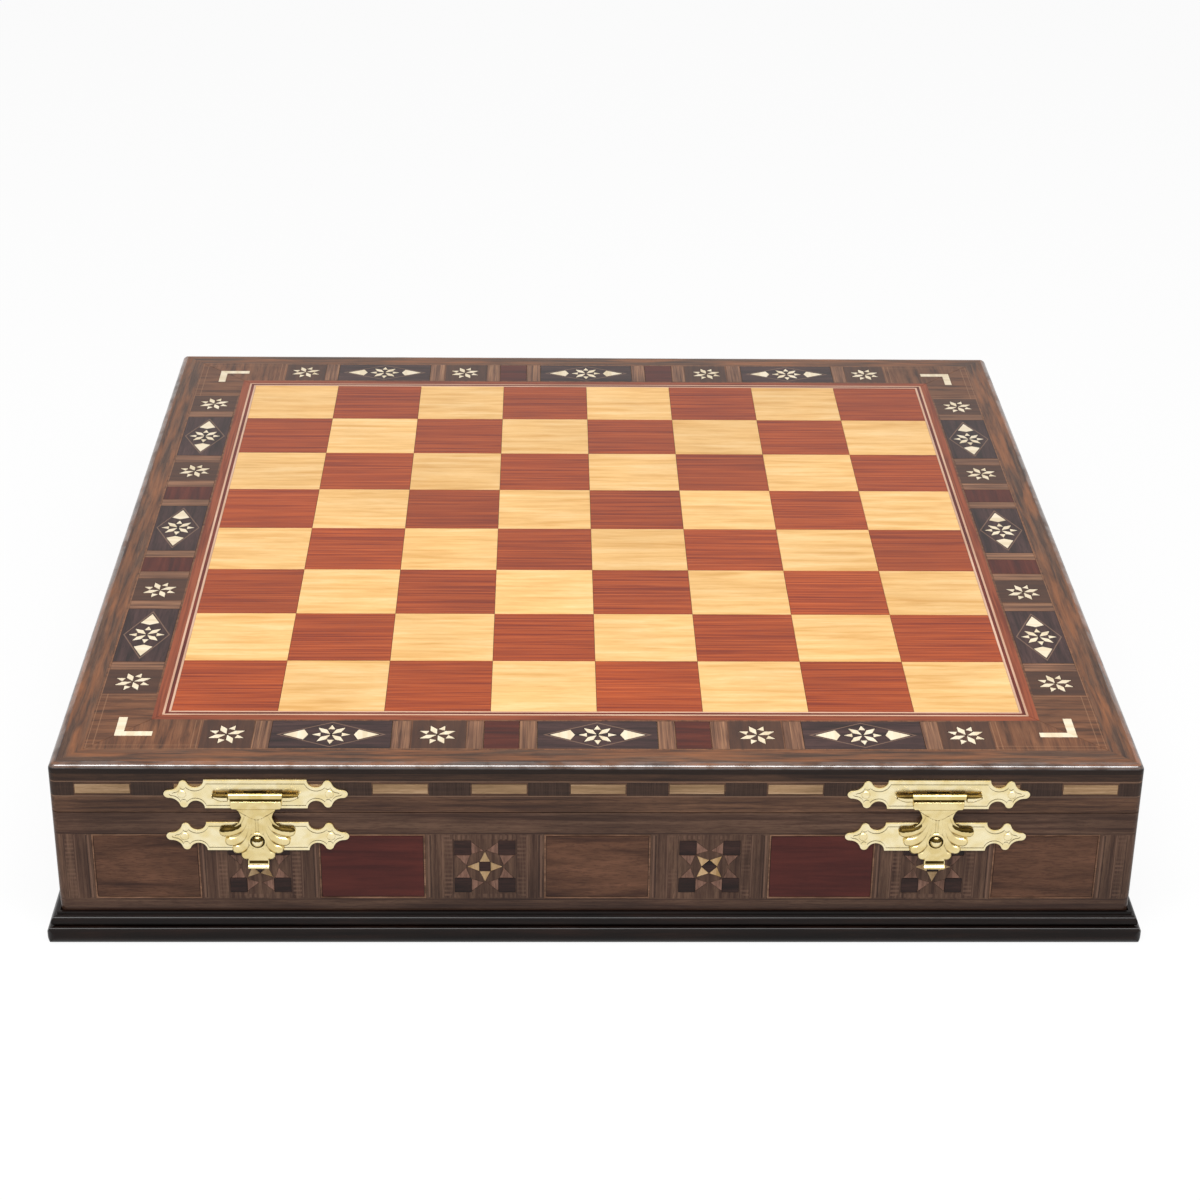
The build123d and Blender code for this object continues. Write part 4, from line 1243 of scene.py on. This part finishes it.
    def painted_shade_faces(self, polygon: bpy.types.MeshPolygon) -> bool:
        """Find the faces painted dark as shade: under the roll, in the outer flutes, round the ball, above the
        lip.

        Args:
            polygon: a face of the hasp's pressing.

        Returns:
            Whether it is one of them.
        """
        centre = polygon.center / MM
        aside, drop = abs(centre.x + self.place), self.upper - centre.z
        rows = (self.roll_shadow, self.flute_hollow, self.lip_crease)
        under_pin, beside_fan, at_lip = (low < drop < high for low, high in rows)
        under_roll = under_pin and aside < self.barrel_half - 0.3
        in_flute = beside_fan and aside > 5.2 and polygon.normal.z > 0.25
        round_ball = math.hypot(aside, centre.z - self.stud) < self.ball_radius + 0.45
        above_lip = at_lip and aside < 3.2
        return under_roll or in_flute or round_ball or above_lip

    def roll(self) -> Piece:
        """Model the roll round the pin, with painted shade on top and low at the front, where it meets the
        apron.

        Returns:
            The roll of the left clasp.
        """
        pin = self.spot(0, self.upper, self.pin_offset)
        tube = cylinder("tube", self.barrel_radius, 2 * self.barrel_half, pin, vertices=64)
        cut_away(tube, cylinder("tube_bore", self.pin_bore, self.through, pin))
        low, high = self.barrel_low_shade

        def slot_of(polygon: bpy.types.MeshPolygon) -> int:
            """Return the dark slot for the painted shade on top and low at the front, and the drawn brass
            elsewhere.
            """
            turn = math.degrees(math.atan2(polygon.normal.z, -polygon.normal.y))
            return 1 if turn > self.barrel_top or low < turn < high else 2

        mark(coat(tube, self.plain, self.hollow, self.drawn), slot_of)
        return tube

    def hasp(self) -> Piece:
        """Model the hasp, its pressing and its roll in one piece.

        Returns:
            The hasp of the left clasp.
        """
        pressing = coat(self.pressing(), self.plain, self.hollow)
        # Painted shade: these faces take the dark brass.
        mark(pressing, self.painted_shade_faces)
        return smoothed(joined("hasp_left_pressed", [pressing, self.roll()]), 60)

    def studs(self) -> Piece:
        """Model one ball stud on its neck, with a dark ring where the box front mirrors in it.

        Returns:
            The stud of the left clasp.
        """
        head = ball("ball", self.ball_radius, self.spot(0, self.stud, self.pin_offset), rings=20)
        keep_part(head, self.spot(0, 0, self.sheet), BACK)
        neck = cylinder("neck", 1.2, 4.0, self.spot(0, self.stud, self.sheet - 2.0), TO_FRONT, vertices=24)
        with editing(neck) as mesh:
            pick(neck, mesh.faces, lambda face: face.normal.y > 0.9)
            bpy.ops.mesh.bevel(offset=0.3 * MM, segments=2)
        stud = coat(joined("ball_stud_left", [head, neck]), self.plain, self.hollow)
        mark(stud, lambda polygon: 0.25 < polygon.normal.z < 0.8 and polygon.normal.y < -0.3)
        return smoothed(stud, 50)

    def nail(self) -> Piece:
        """Model one domed nail, its rim pressed a little proud of the plate.

        Returns:
            The left nail of the left clasp's upper plate.
        """
        middle = self.spot(-self.nail_place, self.upper, self.sheet)
        dome = ball("dome", self.nail_radius, middle, rings=16)
        with editing(dome):
            bpy.ops.mesh.select_all(action="SELECT")
            bpy.ops.transform.resize(value=(1, 0.42, 1), center_override=middle)
        keep_part(dome, self.spot(0, 0, self.sheet - 0.1), BACK)
        shank = cone("shank", (0.1, 0.6), 7.0, self.spot(-self.nail_place, self.upper, self.sheet - 3.5),
                     TO_FRONT, vertices=12)
        return smoothed(joined("nail", [dome, shank]), 50)

    def build(self) -> None:
        """Model both clasps and set them on their bodies."""
        across = 2 * self.place
        for name, left, body, node, brass in (
                ("upper_clasp_plate", self.upper_plate(), "lid", "clasp_upper_plate", self.plain),
                ("lower_clasp_plate", self.lower_plate(), "box", "clasp_lower_plate", self.plain),
                ("pressed_hasp", self.hasp(), None, "hasp", self.pressed)):
            left.name = f"{name}_left"
            right = copied(left, f"{name}_right", RIGHT * (across * MM))
            for hand, piece in (("left", left), ("right", right)):
                dress(piece, brass, body or f"hasp_{hand}", [f"{node}_{hand}"])
        dress(row_of(self.studs(), "ball_studs_pair", [across]), self.plain, "box", ["ball_studs"])
        pair = 2 * self.nail_place
        nails = row_of(self.nail(), "upper_nail_row", [pair, across, across + pair])
        lower = copied(nails, "lower_nail_row", UP * ((self.lower - self.upper) * MM))
        dress(nails, self.plain, "lid", ["clasp_nails_upper"])
        dress(lower, self.plain, "box", ["clasp_nails_lower"])


# ---------------------------------------------------------------- hinge screws
@dataclass
class HingeScrews:
    """Small slotted countersunk screws of the two back hinges."""

    place: float = 110.0
    spacing: float = 18.0
    depth_y: float = 177.8
    seam: float = 50.5
    half_gap: float = 0.15
    head: float = 1.8
    head_depth: float = 0.7
    shank: float = 1.1
    length: float = 8.0

    def screw(self, up: int) -> Piece:
        """Model one screw with its head at the seam and its shank going into the wood.

        Args:
            up: 1 for the lid's screws and -1 for the body's.

        Returns:
            The screw at the left end of the left hinge.
        """
        seam = Vector((-self.place - self.spacing / 2, self.depth_y, self.seam + up * self.half_gap)) * MM
        turn, depth = (0 if up > 0 else math.pi, 0, 0), self.head_depth
        head = cone("screw_head", (self.head, self.shank), depth, seam + UP * (up * depth / 2 * MM), turn,
                    vertices=32)
        cut_away(head, block("slot", (5, 0.4, 0.7), seam))
        rest = self.length - depth
        shank = cone("screw_shank", (self.shank, 0.3), rest, seam + UP * (up * (depth + rest / 2) * MM), turn,
                     vertices=20)
        return smoothed(joined("screw", [head, shank]), 35)

    def build(self, brass: Material) -> None:
        """Model both rows of screws and set them on box and lid.

        Args:
            brass: their finish.
        """
        for up, body, member in ((-1, "box", "body"), (1, "lid", "lid")):
            shifts = (self.spacing, 2 * self.place, 2 * self.place + self.spacing)
            row = row_of(self.screw(up), f"slotted_screws_{member}", shifts)
            dress(row, brass, body, [f"hinge_screws_{member}"])


# ---------------------------------------------------------------- felt linings
@dataclass
class FeltLinings:
    """Felt in the floor of the box and under the lid panel, cut square and glued down flat."""

    clearance: float = 0.2
    glue: float = 0.04
    thickness: float = 1.1
    rim: float = 0.25
    cuts: int = 60
    lump: float = 0.05

    def side(self, node: str) -> float:
        """Edge of the square that a node's lining is cut to, in metres."""
        low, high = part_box(node)
        return high.x - low.x - 2 * self.clearance * MM

    def sheet(self, node: str, name: str) -> Piece:
        """Model one lining in the place of its node, very slightly uneven as pressed felt is.

        Args:
            node: the lining's node in the frame.
            name: the piece's name.

        Returns:
            The closed sheet, a little clear of what it lies on.
        """
        low, high = (Vector(corner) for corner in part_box(node))
        middle = (low + high) / 2
        middle.z = low.z + self.glue * MM
        felt = added(bpy.ops.mesh.primitive_plane_add, name, size=self.side(node), location=middle)
        with editing(felt, "VERT"):
            bpy.ops.mesh.select_all(action="SELECT")
            bpy.ops.mesh.subdivide(number_cuts=self.cuts)
            bpy.ops.transform.vertex_random(offset=self.lump * MM, uniform=0.0, normal=1.0, seed=3)
            bpy.ops.mesh.vertices_smooth(factor=0.5, repeat=2, xaxis=False, yaxis=False)
        modified(felt, "SOLIDIFY", thickness=(self.thickness - self.lump) * MM, offset=1.0)
        modified(felt, "BEVEL", width=self.rim * MM, segments=2, limit_method="ANGLE",
                 angle_limit=math.radians(60))
        return smoothed(felt)

    def build(self, felt: Material) -> None:
        """Lay both linings.

        Args:
            felt: their finish.
        """
        for node, body, held, carrier in (("floor_lining", "box", "laid", "bottom_panel"),
                                          ("lid_lining", "lid", "stretched", "lid_panel")):
            piece = self.sheet(node, f"felt_{node}")
            dress(piece, felt, body, [node])


# ---------------------------------------------------------------- finishes of the modelled nodes
class Marquetry:
    """Which finish each kept piece of the frame gets."""

    def walls(self) -> list[tuple[LacqueredVeneer, tuple[str, ...]]]:
        """List the finishes of walls, rails and base.

        Returns:
            Each finish with the starts of the node names that it covers.
        """
        upright, plain = Grain.UPRIGHT, LacqueredVeneer
        return [
            # Walnut burr offcuts, dark stained: brown with dense short pores.
            (WallMarquetry("stained_walnut_walls", "#332018", "#4C362A", "#5C4435", pore_width=0.35,
                           pore_run=4.0, streak_width=1.6),
             ("wall_front", "wall_right", "wall_back", "wall_left")),
            # Figured walnut rail: along the grain, golden where the figure turns up.
            (LidRail("figured_walnut_rails", "#33211A", "#513829", "#624634", pore_width=0.35, pore_run=5.0,
                     streak_width=1.5), ("lid_rail",)),
            # Walnut panels of the walls: reddish, open pores in short dashes.
            (plain("walnut_wall_panels", "#2F1A12", "#533626", "#634230", pore_width=0.35, pore_run=3.0,
                   streak_width=5.0, seed=9.0), ("wall_walnut_panels",)),
            # Dyed maroon veneer: even, very fine pores.
            (plain("dyed_maroon_wall_panels", "#371310", "#451A15", "#502019", pore_width=0.3, pore_run=3.0,
                   pore_strength=0.25, tone_swing=0.12, seed=5.0), ("wall_maroon_panels",)),
            # Framing string: light brown, with quick changes of tone along it.
            (plain("pale_framing_string", "#4A3224", "#6C4D3A", "#84624C", streak_run=12.0),
             ("wall_frame_lines",)),
            # Smoked oak chips: almost black with a violet cast.
            (plain("smoked_dark_chips", "#180D0A", "#2A1814", "#34201B", pore_run=4.0),
             ("mosaic_dark_squares",)),
            # Steamed beech chips: even pinkish brown.
            (plain("steamed_beech_chips", "#4A3328", "#745446", "#846354", upright, pore_run=3.0, seed=6.0),
             ("mosaic_tan_triangles",)),
            # Holly, aged to ivory: almost no grain.
            (plain("aged_holly_points", "#8A6D45", "#A38560", "#B59974", upright, pore_strength=0.15,
                   seed=7.0), ("mosaic_ivory_points",)),
            # Limba bars of the lid's edge: straw brown with fine straight streaks.
            (plain("limba_edge_bars", "#765C40", "#927556", "#A38668", streak_width=1.2, pore_run=4.0,
                   tone_swing=0.15, seed=8.0), ("lid_edge_bars",)),
            # Black lacquered moulding: a trace of brown wood below it.
            (plain("black_lacquered_moulding", "#080403", "#100806", "#1C0F0A", pore_strength=0.3, polish=0.08,
                   lacquer=0.4), ("base_moulding",)),
        ]

    def top(self) -> list[tuple[LacqueredVeneer, tuple[str, ...]]]:
        """List the finishes of the playing field and its border.

        Returns:
            Each finish with the starts of the node names that it covers.
        """
        across, plain = Grain.ACROSS_SIDE, LacqueredVeneer
        return [
            # Padauk squares: orange red with long dark vessels from left to right.
            (PlayingSquare("padauk_squares", "#74240F", "#A84818", "#B65626", Grain.LEFT_RIGHT,
                           pore_width=0.36, pore_run=45.0, streak_width=1.2, streak_run=80.0,
                           pore_strength=0.95, tone_swing=0.08, seed=2.0), ("dark_squares",)),
            # Pale maple squares: honey yellow, faint fine flecks.
            (PlayingSquare("maple_squares", "#DDA75E", "#EFBF7A", "#F6CD90", Grain.LEFT_RIGHT,
                           pore_width=0.4, pore_run=5.0, streak_width=3.5, streak_run=40.0,
                           pore_strength=0.3, tone_swing=0.05, seed=4.0, leaf_swing=0.06),
             ("light_squares",)),
            # Maple string: one even pale line.
            (Stringing("maple_stringing", "#C3967A", "#D2A98D", "#E0BAA0", pore_strength=0.15,
                       tone_swing=0.06), ("stringing_light",)),
            # Red dyed string: even brick red.
            (plain("dyed_red_stringing", "#4A140A", "#6A2212", "#7E2E1A", tone_swing=0.1),
             ("stringing_red",)),
            # Figured walnut: chestnut with dark pores across the border.
            (BorderGround("figured_walnut_border", "#3D2416", "#653D25", "#7D5033", across, pore_width=0.4,
                          pore_run=7.0, streak_width=2.2, streak_run=30.0), ("border_veneer",)),
            # Banding: short stripes straight across the strip.
            (CrossBanding("cross_grained_banding", "#4A2E20", "#7E5740", "#9C7252", across, pore_width=0.35,
                          pore_run=20.0, streak_width=0.9, streak_run=40.0), ("banding",)),
            # Smoked lozenge panels: dark violet brown, short pores.
            (plain("smoked_lozenge_panels", "#21120F", "#3A2422", "#48302C", pore_run=5.0),
             ("lozenge_panels",)),
            # Maroon lid panels: deep red, hardly any grain.
            (plain("dyed_maroon_lid_panels", "#360F07", "#4E190B", "#5E2514", pore_width=0.3, pore_run=4.0,
                   pore_strength=0.3, tone_swing=0.12), ("lid_maroon_panels",)),
            # Mother-of-pearl coloured maple chips: cream, almost even.
            (plain("cream_star_chips", "#DCC9A6", "#EBDABC", "#F3E5CC", across, pore_strength=0.12,
                   tone_swing=0.05), ("star_inlays", "kite_and_corner")),
        ]

    def inside(self) -> list[tuple[LacqueredVeneer | PolishedBrass, tuple[str, ...]]]:
        """List the finishes of what is inside the box, and of hinges and pins.

        Returns:
            Each finish with the starts of the node names that it covers.
        """
        oiled = ("#4A2A18", "#6E452A", "#855A38")
        return [
            # Oiled dividers: warm brown and dull, the grain along each one.
            (LacqueredVeneer("oiled_cross_dividers", *oiled, Grain.FRONT_BACK, polish=0.35),
             ("cross_divider",)),
            (LacqueredVeneer("oiled_long_dividers", *oiled, Grain.LEFT_RIGHT, polish=0.35),
             ("long_divider",)),
            # Birch plywood: pale and broad in the grain, almost matt.
            (LacqueredVeneer("birch_plywood", "#7A5A3A", "#9C7A52", "#B08F66", Grain.LEFT_RIGHT, polish=0.5,
                             streak_width=9.0), ("bottom_panel", "lid_panel")),
            # Cast hinge brass: deeper yellow than the clasps, with a softer mirror.
            (PolishedBrass("hinge_brass", "#E6CF8A", "#CFAE5E", roughness=0.22), ("hinge_",)),
            # Pins that nobody polishes: dull brown brass.
            (PolishedBrass("tarnished_pin_brass", "#6E5A2E", "#4A3A1A", roughness=0.45), ("hasp_pins",)),
        ]

    def build(self, nodes: dict[str, Piece]) -> None:
        """Give every kept node its finish.

        Args:
            nodes: the frame's nodes by name.
        """
        left = set(nodes)
        for finish, starts in self.walls() + self.top() + self.inside():
            material = finish.build()
            covered = [name for name in sorted(left) if name.startswith(starts)]
            for name in covered:
                coat(nodes[name], material)
            left -= set(covered)
            log.info("%s on %d nodes", material.name, len(covered))
        log.info("no finish of their own: %s", sorted(left))


# ---------------------------------------------------------------- studio
@dataclass
class Studio:
    """Camera at the photograph's angle, white ground and plain soft light. Places are in metres."""

    location: tuple[float, float, float] = (-0.01772, -0.94587, 0.51985)
    pitch: float = 27.03
    yaw: float = 1.316
    roll: float = 0.754
    lens: float = 78.757
    sensor: float = 36.0
    floor: float = 14.0
    glow: float = 0.9
    sky_light: float = 0.5

    def camera(self) -> None:
        """Set the camera where the photograph was taken from."""
        pitch, yaw, roll = (math.radians(a) for a in (self.pitch, self.yaw, self.roll))
        forward = Vector((math.sin(yaw) * math.cos(pitch), math.cos(yaw) * math.cos(pitch), -math.sin(pitch)))
        right = Vector((math.cos(yaw), -math.sin(yaw), 0))
        up = right.cross(forward)
        right, up = right * math.cos(roll) + up * math.sin(roll), up * math.cos(roll) - right * math.sin(roll)
        data = bpy.data.cameras.new("camera")
        data.sensor_width, data.lens = self.sensor, self.lens
        data.clip_start, data.clip_end = 0.01, 50.0
        camera = bpy.data.objects.new("camera", data)
        bpy.context.scene.collection.objects.link(camera)
        turn = Matrix((right, up, -forward)).transposed().to_4x4()
        camera.matrix_world = Matrix.Translation(self.location) @ turn
        bpy.context.scene.camera = camera

    def lamp(self, name: str, place: tuple, aim: tuple, size: Point, watts: float) -> None:
        """Hang one soft lamp and aim it.

        Args:
            name: the lamp's name.
            place: where it hangs.
            aim: the point that it shines at.
            size: its width and depth.
            watts: its power.
        """
        data = bpy.data.lights.new(name, "AREA")
        data.shape = "RECTANGLE"
        data.size, data.size_y = size
        data.energy = watts
        lamp = bpy.data.objects.new(name, data)
        lamp.location = place
        lamp.rotation_euler = (Vector(aim) - Vector(place)).to_track_quat("-Z", "Y").to_euler()
        bpy.context.scene.collection.objects.link(lamp)

    def seen(self, tree: Tree) -> Socket:
        """Tell the rays that show something to the camera from those that light the box.

        Args:
            tree: the floor's or the sky's node tree.

        Returns:
            1 for rays from the camera and for those that gloss and glass send.
        """
        path = add_node(tree, "LightPath").node.outputs
        total = add_node(tree, "Math", path["Is Camera Ray"], path["Is Glossy Ray"], operation="ADD")
        total = add_node(tree, "Math", total, path["Is Transmission Ray"], operation="ADD")
        return add_node(tree, "Math", total, 1.0, operation="MINIMUM")

    def ground(self) -> None:
        """Lay the floor of seamless paper: seen as white, faintly uneven, and it keeps the box's shadow."""
        floor = added(bpy.ops.mesh.primitive_plane_add, "floor", size=self.floor)
        material = bpy.data.materials.new("white_paper_floor")
        tree = emptied(material)
        source = add_node(tree, "TexCoord", out="Object")
        cloud = add_node(tree, "TexNoise", inputs={"Vector": source, "Scale": 1.5})
        grey = add_node(tree, "ValToRGB", cloud, stops=((0.3, "#F4F4F4"), (0.7, "#FAFAFA")))
        paper = add_node(tree, "BsdfDiffuse", grey)
        glow = add_node(tree, "Emission", linear("#FFFFFF"), 1.0)
        share = add_node(tree, "Math", self.seen(tree), self.glow, operation="MULTIPLY")
        add_node(tree, "OutputMaterial", add_node(tree, "MixShader", share, paper, glow))
        floor.data.materials.append(material)

    def world(self) -> None:
        """Make the sky: white where it is seen, softer where it lights the box."""
        world = bpy.data.worlds.new("studio")
        tree = emptied(world)
        strength = add_node(tree, "MapRange", self.seen(tree), 0.0, 1.0, self.sky_light, 1.0)
        add_node(tree, "OutputWorld", add_node(tree, "Background", linear("#FFFFFF"), strength))
        bpy.context.scene.world = world

    def build(self) -> None:
        """Set up camera, ground, sky and lamps."""
        bpy.context.scene.view_settings.view_transform = "Standard"
        self.camera()
        self.ground()
        self.world()
        # The long lamp stands where the rounded edges of lid and moulding mirror it to the camera.
        self.lamp("edge", (0.0, -0.68, 1.16), aim=(0, -0.1, 0.05), size=(1.1, 0.3), watts=12.0)
        self.lamp("key", (-0.9, -0.8, 1.7), aim=(0, 0, 0.05), size=(1.0, 1.0), watts=4.0)
        self.lamp("fill", (1.1, -0.9, 1.3), aim=(0, 0, 0.05), size=(1.0, 1.0), watts=3.0)


def main() -> None:
    """Dress the frame, model what replaces its nodes and light the box."""
    logging.basicConfig(level=logging.INFO, format="%(name)s: %(message)s", force=True)
    Studio().build()
    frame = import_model()
    Marquetry().build(frame["nodes"])
    # Bright plates, slightly deeper pressed hasps with painted shade in their creases, dark brass for painted
    # shade and reflections, and a sharper mirror on the drawn rolls.
    Clasps(plain=PolishedBrass("plate_brass").build(),
           pressed=PolishedBrass("pressed_brass", "#EBD9A4", "#DEC88C", crease=0.95).build(),
           hollow=PolishedBrass("painted_shade_and_reflection_brass", "#54431E", "#382B10", roughness=0.5).build(),
           drawn=PolishedBrass("drawn_roll_brass", "#E2CE92", "#D4BC78", roughness=0.14).build()).build()
    HingeScrews().build(PolishedBrass("screw_brass", "#DCC07A", "#C09C50", roughness=0.25).build())
    FeltLinings().build(PressedFelt("pressed_wine_felt").build())


if __name__ == "__main__":
    main()
